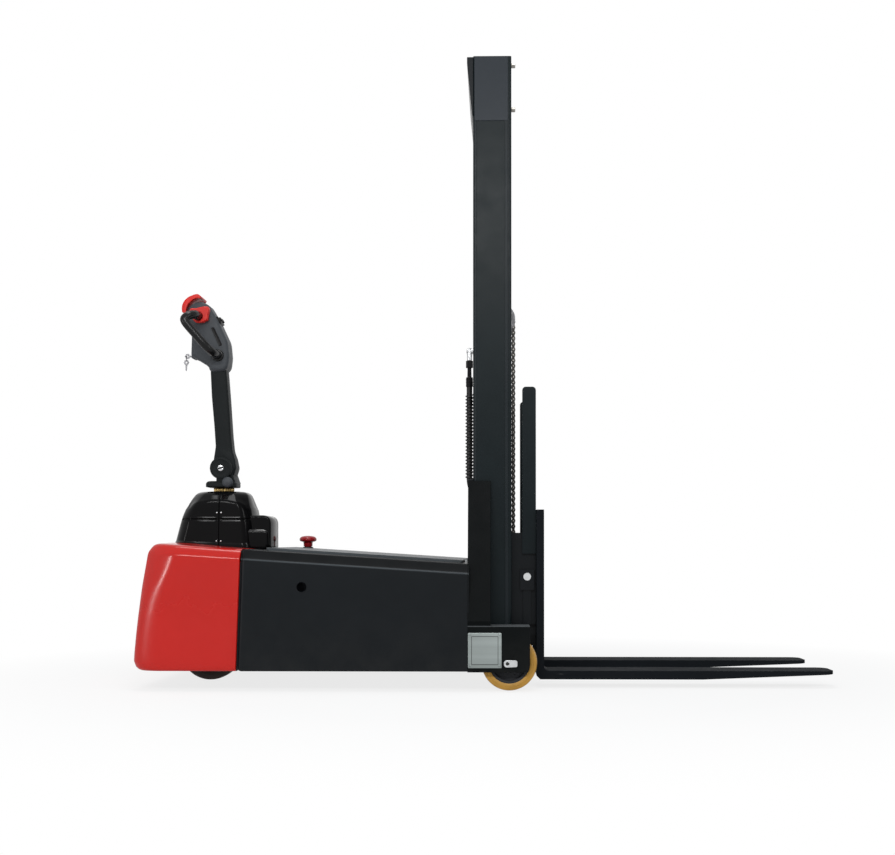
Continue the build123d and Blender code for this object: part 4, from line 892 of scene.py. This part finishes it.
class STACKER_OT_tiller_foot(Operator):
    """Bracket on the steering stem with its ears, the knob, the slotted pivot pin and the serrated nut"""

    bl_idname = "stacker.tiller_foot"
    bl_label = "Tiller foot"

    def pin_ends(self):
        """Two half moons on each end of the pin, with a slot between them."""
        sweep = np.radians(np.linspace(13, 167, 20))
        rows = mm((0, 60), (0, 63.2), (0.4, 64), (0.8, 64.2))
        shells = []
        for lean in np.radians((15, 195)):
            moon = 0.0101 * np.stack([np.cos(sweep + lean), np.sin(sweep + lean)], axis=1)
            shells += pair(prism(moon + (PIVOT_X, PIVOT_Z), rows))
        piece("tiller_pin_ends", "steering", "zinc", shells, ["tiller_pin"])

    def nut(self):
        """Serrated nut: a turned profile whose radius grows and shrinks with a squared-off wave."""
        teeth, depth = 24, 0.035
        wave = np.sin(teeth * circle(6 * teeth))
        tooth = 1 + depth * np.sign(wave) * np.abs(wave) ** 0.5
        rows = mm((31, 654.2), (34.2, 655.2), (34.5, 657), (34.5, 665.5), (33.5, 667.2), (30, 667.8))
        rings = lathe(rows, ORIGIN, 2, len(tooth))
        rings[..., :2] *= tooth[:, None]
        rings[..., 0] += PIVOT_X
        piece("stem_nut", "steering", "brass", [rings], ["stem_collar"])

    def execute(self, context):
        base = corner_cut(rect(-0.9765, -0.060, -0.8690, 0.060), 0.030, 8)
        rows = mm((6, 668.5), (2, 669), (0, 671), (0, 680), (1, 683.5), (4, 687), (9, 689.2), (16, 690))
        ear = mm((38, 42.5), (38, 59), (37.2, 60.8), (35.5, 61.7), (30.5, 61.7), (29.8, 60.9), (29, 60.6),
                 (18, 60.6), (17.2, 61.2), (13, 61.2))
        web = plate(from_pivot((-16, 4), (-16, -50), (24, -50), (24, 4)), 0.004, 4, 0.0425, 0.0585, 0.003)
        shoulder = from_pivot((14, -10), (20, -52), (49, -52), (44, -40), (34, -12))
        shells = [prism(base, rows, (0, 1, 2)), *pair(lathe(ear, PIVOT, 1, 72), web)]
        shells.append(plate(shoulder, 0.006, 5, -0.040, 0.060, 0.0022))
        piece("tiller_bracket_cast", "steering", "tiller_paint", shells, ["tiller_bracket"])
        knob = mm((6, -57), (17.8, -57), (18.8, -61), (17.6, -65.5), (14, -68.8), (8, -70.4), (1.5, -70.9))
        piece("tiller_knob", "steering", "head_grey", [lathe(knob, (-0.8965, 0.0, 0.6850), 1, 36)])
        # Black core: painted shade at the bottom of the slot between the half moons.
        core = lathe(mm((9.8, -60.4), (9.8, 60.4)), PIVOT, 1, 40)
        piece("shaded_tiller_pin_core", "steering", "control_black", [core])
        self.pin_ends()
        self.nut()
        seat = lathe(mm((40, 647), (40, 652.5), (38.5, 654), (30, 654.5)), PIVOT, 2)
        piece("stem_seat", "chassis", "control_black", [seat])
        return {"FINISHED"}


class STACKER_OT_tiller_arm(Operator):
    """Arm from the pivot to the head, waisted above its round foot"""

    bl_idname = "stacker.tiller_arm"
    bl_label = "Tiller arm"

    def execute(self, context):
        outline = from_pivot(
            (-44, 352), (11, 352), (20, 240), (29, 110), (34, 62), (44, 32), (49, 2), (42, -22), (24, -36),
            (-10, -36), (-30, -24), (-34, 4), (-30, 40), (-25, 78), (-30, 150), (-39, 250),
        )
        radii = mm(15, 15, 300, 100, 60, 30, 20, 20, 20, 20, 20, 30, 50, 50, 200, 300)
        body = plate(outline, radii, 6, -0.0315, 0.0315, 0.009, 6)
        foot_top, blend, widening = 0.80, 0.06, 0.27
        spread = np.clip((foot_top - body[..., 2]) / blend, 0, 1)
        body[..., 1] *= 1 + widening * spread * spread * (3 - 2 * spread)
        piece("tiller_arm_body", "tiller", "tiller_paint", [body], ["tiller_arm"])
        return {"FINISHED"}


class STACKER_OT_tiller_head(Operator):
    """Moulded head with its bare side recess, parting line and two loop grips"""

    bl_idname = "stacker.tiller_head"
    bl_label = "Tiller head"

    def shell(self):
        """Head with a groove round its middle plane, widest halfway up."""
        outline = from_pivot((-36, 338), (18, 337), (24, 391), (19, 442), (-14, 513), (-46, 568), (-72, 582),
                             (-90, 579), (-106, 569), (-117, 556), (-122, 540), (-107, 456), (-109, 389),
                             (-92, 382), (-53, 358))
        radii = mm(24, 32, 50, 80, 120, 30, 30, 30, 30, 30, 30, 40, 22, 24, 24)
        steps = 7
        groove = mm((0, -1.2), (1.2, -0.6), (1.2, 0.6), (0, 1.2))
        rows = np.insert(soft_rows(-0.044, 0.044, 0.013, steps), steps, groove, axis=0)
        body = prism(corner_cut(outline, radii, steps), rows)
        low, tall, bulge = 1.074, 0.23, 0.06
        body[..., 1] *= 1 + bulge * np.sin(np.clip((body[..., 2] - low) / tall, 0, 1) * math.pi)
        return body

    def grip(self):
        """Loop grip: a tube along a spline, thicker at its ends, with a slightly oval section."""
        path = smooth_path(mm(
            (-999, 30, 1259), (-999, 60, 1259), (-999, 88, 1259), (-1001, 112, 1258.2), (-1010, 130, 1254),
            (-1022, 142, 1247), (-1029, 147, 1236), (-1022, 146.5, 1222), (-1000, 143, 1196),
            (-972, 138, 1163), (-950, 130, 1138), (-938, 112, 1127), (-934, 88, 1126), (-934, 60, 1126),
            (-934, 30, 1126),
        ), 110)
        thick = mm(14, 14.5, 14.5, 13.5, 12.5, 12.5, 13, 15)
        swell = np.interp(np.linspace(0, 1, len(path)), [0, 0.2, 0.32, 0.45, 0.62, 0.75, 0.88, 1], thick)
        return tube(path, swell, (0.898, 0.0, 0.439), 22, 1.12)

    def execute(self, context):
        collar = from_pivot((-46, 337), (4, 337), (8, 366), (-48, 366))
        boss = from_pivot((-96, 414), (-113, 408), (-113, 388), (-98, 380))
        seat = from_pivot((-46, 566), (-72, 580), (-92, 578), (-109, 568), (-119, 556), (-123, 541),
                          (-108, 505), (-52, 535))
        shells = [
            self.shell(),
            plate(collar, 0.016, 5, -0.0375, 0.0375, 0.006, 5),
            plate(boss, 0.005, 4, -0.015, 0.015, 0.0025),
            plate(seat, mm(6, 30, 30, 30, 30, 6, 10, 10), 6, -0.0425, 0.0425, 0.004),
        ]
        piece("tiller_head_shell", "tiller", "head_grey", shells, ["tiller_head"])
        panel = corner_cut(from_pivot((-38, 487), (-28, 491), (2, 428), (-9, 423)), 0.004, 4)
        panel = prism(panel, mm((0, 40), (0, 46.2), (1.2, 46.8), (3, 46.4)))
        piece("head_recess", "tiller", "control_black", pair(panel))
        rim = corner_cut(from_pivot((-41, 488), (-27, 494), (6, 427), (-10, 420)), 0.005, 4)
        rim = prism(rim, mm((0, 40), (0, 45.5), (1, 46.2), (2.4, 46)))
        piece("head_recess_rim", "tiller", "head_grey", pair(rim))
        boot = lathe(disc_rows(0.021, 0.038, 0.052, 0.004), (-0.934, 0.0, 1.126), 1, 36)
        piece("loop_grips", "tiller", "grip_black", pair(self.grip(), boot), ["hand_grips"])
        return {"FINISHED"}


class STACKER_OT_head_controls(Operator):
    """Red reversing cap, butterfly throttle, two press buttons and the keys"""

    bl_idname = "stacker.head_controls"
    bl_label = "Head controls"

    def cap(self):
        """Reversing cap: a crescent over the head's end, a lip on each side and the stem below it."""
        over = [(-138, 541), (-140, 562), (-132, 582), (-116, 596), (-96, 604), (-85, 606), (-78, 603),
                (-73, 597)]
        under = [(-76, 592), (-80, 594), (-86, 595), (-95, 593), (-110, 583), (-121, 570), (-127, 555),
                 (-127, 541)]
        lip = [(-77, 589), (-81, 591), (-87, 592), (-95, 590), (-109, 581), (-119, 569), (-125, 554),
               (-125, 541)]
        rounding = np.repeat(mm(4, 40, 3, 40, 3), (1, 6, 2, 6, 1))
        crescent = plate(from_pivot(*over, *under), rounding, 6, -0.044, 0.044, 0.0018)
        lip = plate(from_pivot(*over, *lip), rounding, 6, 0.047, 0.0495, 0.001, 3)
        stem = lathe(disc_rows(0.0078, 0.0, 0.040, 0.001), ORIGIN, 2, 28)
        stem = turned(stem, (0.466, 0.0, -0.885), (PIVOT_X - 0.102, 0.0, PIVOT_Z + 0.574))
        piece("reversing_cap", "belly_switch", "control_red", [crescent, *pair(lip), stem], ["belly_button"])

    def throttle(self):
        """Wings cut out round the bar, each on a ring."""
        sweep = np.radians(np.linspace(-72, 152, 22))
        inner = 0.0152 * np.stack([np.cos(sweep), np.sin(sweep)], axis=1)
        outer = mm((-30, 15), (-31, 20), (-24.5, 29), (-8, 28), (20, 35), (35.5, 34), (39.5, 24.5), (35, 2),
                   (34.5, -12), (13, -21.5), (5.8, -19))
        steps, rounded = 5, len(outer)
        radii = np.repeat((0.006, 0.0005), (rounded, 2))
        outer = corner_cut(np.concatenate([outer, inner[[0, -1]]]), radii, steps)[:steps * rounded]
        outline = np.concatenate([outer, inner]) + (BAR_X, BAR_Z)
        wing = prism(outline, mm((2.4, 45.2), (0.8, 46), (0, 48), (0, 64), (1, 67.5), (2.6, 69)))
        hub = mm((14.8, 45.2), (20.5, 45.2), (21.2, 48), (21.2, 56), (20, 58.5), (18, 59.2), (14.8, 59.2))
        shells = pair(wing, (lathe(hub, (BAR_X, 0.0, BAR_Z), 1, 48), LOOPED))
        piece("butterfly_throttle", "throttle_wings", "control_red", shells, ["throttle"])

    def buttons(self):
        """Two round press buttons on a pad."""
        profile = mm((8.6, -10), (8.6, 1), (8, 2.4), (6.2, 3.2), (5.2, 3), (1.5, 2.6))
        for name, y in (("lift", -0.018), ("lower", 0.018)):
            place = (PIVOT_X - 0.0095, y, PIVOT_Z + 0.5218)
            cap = turned(lathe(profile, ORIGIN, 2, 32), PRESS_WAY, place)
            piece(name + "_button_cap", name + "_switch", "control_black", [cap], [name + "_button"])
        pad = corner_cut(rect(-0.034, -0.0135, 0.034, 0.0135), 0.006, 5)
        pad = prism(pad, mm((0, -16), (0, -2.6), (1, -1.8), (3, -1.6)), (1, 0, 2))
        pad = turned(pad, PRESS_WAY, (PIVOT_X - 0.0105, 0.0, PIVOT_Z + 0.5212))
        piece("button_pad", "tiller", "control_black", [pad])

    def bow(self, x, z):
        """Key's bow: a flat ring whose outside is a rounded hexagon and whose inside is a circle."""
        turn = circle(48)
        rows = np.array([(1.0, -0.0013), (1.0, 0.0013), (0.34, 0.0013), (0.34, -0.0013)])
        share, depth = rows.T[..., None]
        wide = share * (0.0090 + 0.0007 * np.cos(6 * turn))
        rings = np.broadcast_arrays(x + wide * np.cos(turn), depth, z + wide * np.sin(turn))
        return np.stack(rings, axis=-1), LOOPED

    def keys(self):
        """Key in its lock barrel, a split ring through its bow and a second key hanging from the ring."""
        x, z = PIVOT_X - 0.106, PIVOT_Z + 0.395
        hang, low = x - 0.0275, z - 0.0215
        barrel = mm((2, -6.2), (7.6, -6.2), (8.6, -5), (8.6, 6)) + (0.0, x)
        piece("key_barrel", "tiller", "chrome", [lathe(barrel, (0.0, 0.0, z), 0, 32)])
        blade = plate(rect(x - 0.017, z - 0.0032, x + 0.004, z + 0.0032), 0.0004, 3, -0.001, 0.001, 0.0003)
        turn = circle(48)
        still = np.zeros(len(turn))
        out = np.stack([still, np.cos(turn), np.sin(turn)], axis=1)
        side = np.cross(np.stack([still, -np.sin(turn), np.cos(turn)], axis=1), out)
        sway = np.stack([0.0012 * np.sin(2 * turn), still, still], axis=1)
        ring = 0.0088 * out + sway + (hang, 0.0, z - 0.0072)
        spin = circle(8)[None, :, None]
        wire = ring[:, None] + 0.0009 * (out[:, None] * np.cos(spin) + side[:, None] * np.sin(spin))
        teeth = mm((-3.2, -7), (-3.2, -27), (-1, -30), (1.4, -27.5), (0.6, -25.5), (2.6, -23.5),
                   (1.2, -21.5), (3, -19), (1.6, -16.5), (3.2, -13), (3.2, -7)) + (hang, low)
        teeth = prism(teeth, soft_rows(-0.0009, 0.0009, 0.0002, 2))
        shells = [blade, self.bow(x - 0.0235, z), (wire, LOOPED), self.bow(hang, low), teeth]
        piece("keys", "key", "zinc", shells, ["ignition_key"], "key_steel")

    def execute(self, context):
        self.cap()
        self.throttle()
        self.buttons()
        self.keys()
        return {"FINISHED"}


# Wheels, emergency switch, chains, hose, mast and plates


WHEEL_X, WHEEL_Z, WHEEL_Y = 0.075, 0.090, 0.345
WHEEL = (WHEEL_X, 0.0, WHEEL_Z)
DRIVE_WHEEL = (-0.960, 0.0, 0.105)
SWITCH_X, SWITCH_Y = -0.677, 0.3685
CHAIN_Y, CHAIN_FRONT, CHAIN_BACK, CHAIN_LOW = 0.060, 0.092, -0.008, 0.457
FRONT_RUN, BACK_RUN = (0.437, 1.2385), (0.406, 1.193)
SHEAVE_X, SHEAVE_Z, SHEAVE_R = 0.042, 1.245, 0.050
HOSE_ROUTE = [
    (-0.061, 0.0, 1.029), (-0.061, 0.0, 0.736), (-0.061, 0.0, 0.668), (-0.022, 0.0, 0.612),
    (-0.022, 0.0, 0.544), (-0.022, 0.0, 0.343), (-0.022, 0.0, 0.255), (-0.110, 0.0, 0.255),
]
HOSE_R = 0.010


class STACKER_OT_wheels(Operator):
    """Front wheels with crowned polyurethane treads, and the drive wheel"""

    bl_idname = "stacker.wheels"
    bl_label = "Wheels"

    def full(self, half, centre, middle, count):
        """Closed ring turned from a half profile, from inside to crown, and the half's mirror image."""
        profile = np.concatenate([half, half[::-1] * (1.0, -1.0)]) + (0.0, middle)
        return lathe(profile, centre, 1, count), LOOPED

    def heads(self, profile, centre, radius):
        """Five hexagon heads on a circle round a wheel's middle."""
        places = [np.array((math.cos(angle), 0.0, math.sin(angle))) for angle in circle(5)]
        return [lathe(profile, radius * place + centre, 1, 6) for place in places]

    def execute(self, context):
        tread = mm((66.2, 26.2), (70, 27.4), (76.5, 27.6), (77.3, 27), (78.1, 27.6), (83, 27.4),
                   (86.8, 26.2), (89, 23.2), (90, 15), (90, 1))
        tread[-3:-1, 0] -= sizes().tread_crown / 2
        hub = mm((20.5, 20.5), (30, 20.5), (31.8, 19), (33, 15), (51, 14), (54.5, 16), (57, 24),
                 (58.5, 25.8), (65, 26.2), (66, 25))
        bolt = mm((4, 13), (4, 17.8), (3.4, 18.6), (1, 18.8))
        for side, way in (("right", -1.0), ("left", 1.0)):
            body, middle = side + "_wheel", way * WHEEL_Y
            shells = [self.full(tread, WHEEL, middle, 120)]
            piece(side + "_tread", body, "polyurethane", shells, [side + "_tyre"])
            heads = self.heads(bolt * (1.0, way) + (0.0, middle), WHEEL, 0.042)
            shells = [self.full(hub, WHEEL, middle, 96), *heads]
            piece(side + "_hub_cast", body, "cast_parts", shells, [side + "_hub"])
        tyre = mm((75.2, 33), (80, 34.5), (96, 34.5), (101, 33.2), (104, 30), (104.8, 20), (105, 1))
        shells = [self.full(tyre, DRIVE_WHEEL, 0.0, 120)]
        piece("drive_tread", "drive_wheel", "drive_rubber", shells, ["drive_tyre"])
        rim = mm((20.5, 33), (33, 33), (35, 30), (37, 22), (60, 20), (64, 24), (67, 32), (69, 33.8),
                 (74.2, 34.2), (75, 33))
        nut = mm((6.8, 19), (6.8, 26.2), (5.8, 27.2), (1, 27.4))
        shells = [self.full(rim, DRIVE_WHEEL, 0.0, 96), *pair(*self.heads(nut, DRIVE_WHEEL, 0.049))]
        piece("drive_rim_cast", "drive_wheel", "cast_parts", shells, ["drive_hub"])
        return {"FINISHED"}


class STACKER_OT_switch(Operator):
    """Emergency switch: mushroom cap on its neck, and the collar that holds it on the rim"""

    bl_idname = "stacker.switch"
    bl_label = "Emergency switch"

    def execute(self, context):
        centre = (SWITCH_X, SWITCH_Y, 0.0)
        cap = mm((1.5, 502), (11, 501.6), (19, 500.4), (25.2, 498.2), (29.6, 494.8), (31.6, 491),
                 (32, 487.2), (31, 483.6), (28.4, 481.2), (23.6, 480), (19.6, 478.8), (17.8, 477),
                 (17, 474.5), (16.8, 465), (16, 463), (13.6, 462.2), (13.4, 461), (13.4, 458))
        shells = [lathe(cap, centre, 2, 64)]
        piece("switch_cap", "estop", "control_red", shells, ["estop_button"], "switch_red")
        low = top_at(SWITCH_X) - 0.003
        collar = mm((13.8, 0), (21.5, 0), (22, 5), (21, 6.6), (19.4, 7), (19.4, 14), (18.7, 15), (17.3, 15),
                    (17.3, 5.8), (13.8, 5.6)) + (0.0, low)
        shells = [(lathe(collar, centre, 2, 48), LOOPED)]
        piece("switch_collar", "chassis", "control_black", shells, ["estop_housing"])
        return {"FINISHED"}


class STACKER_OT_chains(Operator):
    """Two leaf chains: runs to the carriage, leaves fixed to the mast and leaves that move with the ram"""

    bl_idname = "stacker.chains"
    bl_label = "Lifting chains"

    def links(self, pins, even, odd):
        """Link plates between neighbouring pins: two half circles joined by a waist, laid along the line
        from pin to pin. Even and odd links lie in layers of their own, as pairs of depths."""
        high, waist = 0.0138, 0.0074
        end = np.radians(np.linspace(90, 270, 5))
        pitch = np.linalg.norm(pins[1] - pins[0])
        first = np.stack([np.cos(end), np.sin(end)], axis=1) * high / 2
        below, above = [(pitch / 2, -waist / 2)], [(pitch / 2, waist / 2)]
        outline = np.concatenate([first, below, (pitch, 0.0) - first, above])
        way = unit(np.diff(pins, axis=0))
        out = np.stack([-way[:, 1], way[:, 0]], axis=1)
        flat = pins[:-1, None] + outline[None, :, :1] * way[:, None] + outline[None, :, 1:] * out[:, None]
        shells = []
        for chosen, layers in ((flat[0::2], even), (flat[1::2], odd)):
            for depths in layers:
                rings = np.empty((len(chosen), 2, len(outline), 3))
                rings[..., (0, 2)] = chosen[:, None]
                rings[..., 1] = np.asarray(depths)[None, :, None]
                shells += list(rings)
        return shells

    def pins(self, pins, low, high):
        """Eight-sided pins through the links."""
        radius = 0.0026
        return [lathe([(radius, low), (radius, high)], (x, 0.0, z), 1, 8) for x, z in pins]

    def run(self, x, low, high):
        """Pins of an upright run, one chain pitch apart, from its low end up."""
        z = np.arange(low, high, sizes().chain_pitch)
        return np.stack([np.full(len(z), x), z], axis=1)

    def over_sheave(self):
        """Pins of the ram's leaves: straight up to the sheave's height, then along its circle."""
        rise = SHEAVE_Z - CHAIN_LOW
        s = np.arange(0.0, rise + math.pi * SHEAVE_R, sizes().chain_pitch)
        angle = np.clip((s - rise) / SHEAVE_R, 0, None)
        x = SHEAVE_X - SHEAVE_R * np.cos(angle)
        z = CHAIN_LOW + np.minimum(s, rise) + SHEAVE_R * np.sin(angle)
        return np.stack([x, z], axis=1)

    def execute(self, context):
        front = self.run(CHAIN_FRONT, *FRONT_RUN)
        even = CHAIN_Y + mm((-7.5, -4.9), (-1.3, 1.3), (4.9, 7.5))
        odd = CHAIN_Y + mm((-4.5, -1.7), (1.7, 4.5))
        leaves = self.links(front, even, odd)
        rivets = self.pins(front, CHAIN_Y - 0.0079, CHAIN_Y + 0.0079)
        coats = (("front_chains", "chain_steel", leaves), ("front_pins", "pin_steel", rivets))
        for name, coat, shells in coats:
            made = piece(name, "carriage", "dark_steel", pair(*shells), ["carriage_chains"], coat,
                         sharp=30.0)
            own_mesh(made)
        back = self.run(CHAIN_BACK, *BACK_RUN)
        shells = []
        for low in (0.0520, 0.0650):
            shells += self.links(back, [(low, low + 0.0014)], [(low + 0.0016, low + 0.0030)])
            shells += self.pins(back, low, low + 0.0030)
        piece("mast_leaves", "chassis", "dark_steel", pair(*shells), ["mast_chains"], "chain_steel",
              sharp=30.0)
        over = self.over_sheave()
        shells = self.links(over, [(0.0571, 0.0598)], [(0.0602, 0.0629)]) + self.pins(over, 0.0571, 0.0629)
        piece("ram_leaves", "ram", "dark_steel", pair(*shells), ["ram_chains"], "chain_steel", sharp=30.0)
        return {"FINISHED"}


class STACKER_OT_hose(Operator):
    """Hydraulic hose behind the mast with its crimped end, its fittings and the spiral guard"""

    bl_idname = "stacker.hose"
    bl_label = "Hose and guard"

    def line(self, bevel):
        """NURBS curve with the route's points as its control points."""
        data = bpy.data.curves.new("hose_line", "CURVE")
        data.dimensions = "3D"
        data.resolution_u = 24
        data.bevel_depth = bevel
        data.bevel_resolution = 5
        data.use_fill_caps = True
        spline = data.splines.new("NURBS")
        spline.points.add(len(HOSE_ROUTE) - 1)
        spline.points.foreach_set("co", np.insert(np.array(HOSE_ROUTE), 3, 1.0, axis=1).ravel())
        spline.order_u = 3
        spline.use_endpoint_u = True
        return data

    def path(self):
        """Points along the hose's line, as the curve itself gives them."""
        bare = bpy.data.objects.new("hose_bare", self.line(0.0))
        mesh = bpy.data.meshes.new_from_object(bare)
        points = corners_of(mesh, "co")
        bpy.data.meshes.remove(mesh)
        bpy.data.objects.remove(bare)
        return points

    def coil(self, path, s):
        """Spiral guard's middle line: a circle that goes round the hose as its place runs along it."""
        turns, radius, steps = 25, 0.0123, 24
        place = np.linspace(0.036, 0.330, steps * turns + 1)
        middle = np.stack([np.interp(place, s, column) for column in path.T], axis=1)
        angle = np.linspace(0, 2 * math.pi * turns, len(place))
        return middle + radius * np.stack([np.cos(angle), np.sin(angle), np.zeros(len(angle))], axis=1)

    def execute(self, context):
        hose = bpy.data.objects.new("hose", self.line(HOSE_R))
        context.scene.collection.objects.link(hose)
        hose.data.materials.append(slot_finish("hose_rubber"))
        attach(hose, "chassis")
        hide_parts("hydraulic_hose")
        path = self.path()
        s = np.concatenate([[0.0], np.cumsum(np.linalg.norm(np.diff(path, axis=0), axis=1))])
        spiral = tube(self.coil(path, s), 0.0021, (0.0, 0.0, 1.0), 10, 1.25)
        guard = piece("spiral_guard", "chassis", "guard_plastic", [spiral], ["hose_guard"], sharp=60.0)
        ferrule = [(10.1, 1020), (12.2, 1020.5), (12.6, 1023)]
        for z in np.arange(1025, 1048, 5.6):
            ferrule += [(12.6, z), (11.7, z + 1.2), (11.7, z + 2.6), (12.6, z + 3.8)]
        ferrule += [(12.6, 1051), (11, 1053), (7.4, 1053.5), (7, 1086)]
        hexagon = mm((11, 1086), (12.2, 1087.2), (12.2, 1110), (11, 1111.2))
        elbow = mm((7, 1111.2), (8.6, 1112.5), (9, 1150), (8.2, 1154), (3, 1156))
        cross = mm((2, -71.5), (7.6, -71), (9, -69), (9, -12))
        nut = mm((12.2, -50), (13.2, -49), (13.2, -36), (12.2, -35))
        upright, level = HOSE_ROUTE[0], (0.0, 0.0, 1.145)
        shells = [lathe(mm(*ferrule), upright, 2, 40), lathe(hexagon, upright, 2, 6)]
        crimp = piece("hose_ferrule", "chassis", "dark_steel", shells, ["hose_fittings"], "fitting_black")
        shells = [lathe(elbow, upright, 2, 36), lathe(cross, level, 0, 36), lathe(nut, level, 0, 6)]
        ends = piece("hose_end", "chassis", "dark_steel", shells, ["hose_fittings"], "zinc")
        return {"FINISHED"}


class STACKER_OT_mast(Operator):
    """Raised edges round the web on the mast's sides, and the stop bolts at its top"""

    bl_idname = "stacker.mast"
    bl_label = "Mast edges and bolts"

    def flat(self, back, front, low, high):
        """Thin plate on the mast's side with a rounded edge, and its mirror image."""
        rows = mm((0, -289.2), (0, -291), (0.4, -291.7), (1.2, -292), (2.2, -292))
        return pair(prism(corner_cut(rect(back, low, front, high), 0.003, 5), rows))

    def execute(self, context):
        back, front, low, seam, high = -0.0385, 0.0720, 0.2040, 1.8640, 2.0750
        web_back, web_front = -0.0312, 0.0615
        shells = self.flat(back, web_back, low, seam) + self.flat(web_front, front, low, seam)
        # The edges are in a lighter copy of the mast paint, a painted highlight.
        piece("mast_edges", "chassis", "frame_black", shells, coat="highlight_mast_edge")
        shells = self.flat(back, front, seam - 0.001, high)
        # The head plates are in a lighter copy of the mast paint, painted light on the mast's top.
        piece("mast_head_plates", "chassis", "frame_black", shells, coat="lit_mast_head")
        shank = mm((4.2, 71.2), (5, 72), (5, 83))
        shells = []
        for y, end in ((-0.265, 96), (0.265, 87.5)):
            head = mm((7, 82.8), (8, 83.6), (8, end - 1), (6.8, end))
            for z in (2.052, 1.906):
                shells += [lathe(head, (0.0, y, z), 0, 6), lathe(shank, (0.0, y, z), 0, 24)]
        piece("stop_bolts", "chassis", "zinc", shells, ["mast_bolts"], "pin_steel")
        return {"FINISHED"}


class STACKER_OT_plates(Operator):
    """Bare data plate with its frame and rivets, and the axles with their keepers"""

    bl_idname = "stacker.plates"
    bl_label = "Plates and axles"

    def keeper(self):
        """Plate with a hole: rings follow the outline from the leg to the face, then the hole's circle back,
        each point of the circle on the ray from the hole's middle to the outline's point."""
        corners = mm((-18, -12.4), (26, -10.6), (26, 10.6), (-18, 12.4))
        outline = corner_cut(corners, mm(12.2, 7, 7, 12.2), 9) + (WHEEL_X, WHEEL_Z)
        outer = prism(outline, mm((0, -400), (0, -403.8), (0.4, -405), (1.2, -405.6)))
        middle = np.array([WHEEL_X - 0.0058, WHEEL_Z])
        ray = unit(outline - middle)
        inner = []
        for radius, depth in mm((6.4, -405.6), (5.8, -405), (5.8, -400)):
            inner.append(np.insert(middle + radius * ray, 1, depth, axis=1))
        return np.concatenate([outer, inner])

    def axles(self):
        """Axle, spacers and keeper of each front wheel."""
        shells = [lathe(mm((11, -399.6), (12.5, -398.4), (12.5, -291), (11.5, -290)), WHEEL, 1, 40)]
        for low, high in ((-392, -373.5), (-316.5, -298)):
            spacer = mm((12.7, low), (28.5, low), (28.5, high), (12.7, high))
            shells.append((lathe(spacer, WHEEL, 1, 48), LOOPED))
        piece("axle_rods", "chassis", "zinc", pair(*shells), ["front_axles"], "chain_steel")
        piece("axle_keepers", "chassis", "zinc", pair((self.keeper(), LOOPED)), ["front_axles"])

    def execute(self, context):
        self.axles()
        outline = corner_cut(rect(-0.057, 0.076, 0.050, 0.188), 0.003, 4)
        shells = [prism(outline, mm((0, -400), (0, -400.8), (0.4, -401.1), (1.2, -401.2)))]
        rivet = mm((3.2, -400.5), (3.1, -401.9), (2.4, -402.8), (1, -403.2))
        for x, z in rect(-0.0505, 0.0825, 0.0435, 0.1815):
            shells.append(lathe(rivet, (x, 0.0, z), 1, 20))
        piece("data_plate_sheet", "chassis", "aluminium", shells, ["data_plate"])
        outline = corner_cut(rect(-0.0465, 0.0865, 0.0395, 0.1775), 0.002, 4)
        rows = mm((0, -400.8), (0, -401.4), (1.4, -401.4), (1.4, -400.8))
        piece("data_plate_frame", "chassis", "control_black", [(prism(outline, rows), LOOPED)])
        return {"FINISHED"}


class STACKER_PT_panel(Panel):
    """Steps that build the machine"""

    bl_idname = "STACKER_PT_panel"
    bl_label = "Electric stacker"
    bl_space_type = "VIEW_3D"
    bl_region_type = "UI"
    bl_category = "Stacker"

    def draw(self, context):
        for step in STEPS:
            self.layout.operator(step.bl_idname)


STEPS = (
    STACKER_OT_stage,
    STACKER_OT_frame_finish,
    STACKER_OT_chassis,
    STACKER_OT_rear_cover,
    STACKER_OT_hood,
    STACKER_OT_tiller_foot,
    STACKER_OT_tiller_arm,
    STACKER_OT_tiller_head,
    STACKER_OT_head_controls,
    STACKER_OT_wheels,
    STACKER_OT_switch,
    STACKER_OT_chains,
    STACKER_OT_hose,
    STACKER_OT_mast,
    STACKER_OT_plates,
)
GROUPS = {
    "stacker_colours": StackerColours,
    "stacker_sizes": StackerSizes,
    "stacker_stage": StackerStage,
}


def register():
    """Make the settings, the steps and the panel known to Blender."""
    for group in (*GROUPS.values(), *STEPS, STACKER_PT_panel):
        bpy.utils.register_class(group)
    for name, group in GROUPS.items():
        setattr(bpy.types.Scene, name, PointerProperty(type=group))


def unregister():
    """Take them away again."""
    for name in GROUPS:
        delattr(bpy.types.Scene, name)
    for group in (STACKER_PT_panel, *STEPS, *GROUPS.values()):
        bpy.utils.unregister_class(group)


def main():
    """Run every step in order."""
    register()
    for step in STEPS:
        family, name = step.bl_idname.split(".")
        getattr(getattr(bpy.ops, family), name)()


if __name__ == "__main__":
    main()
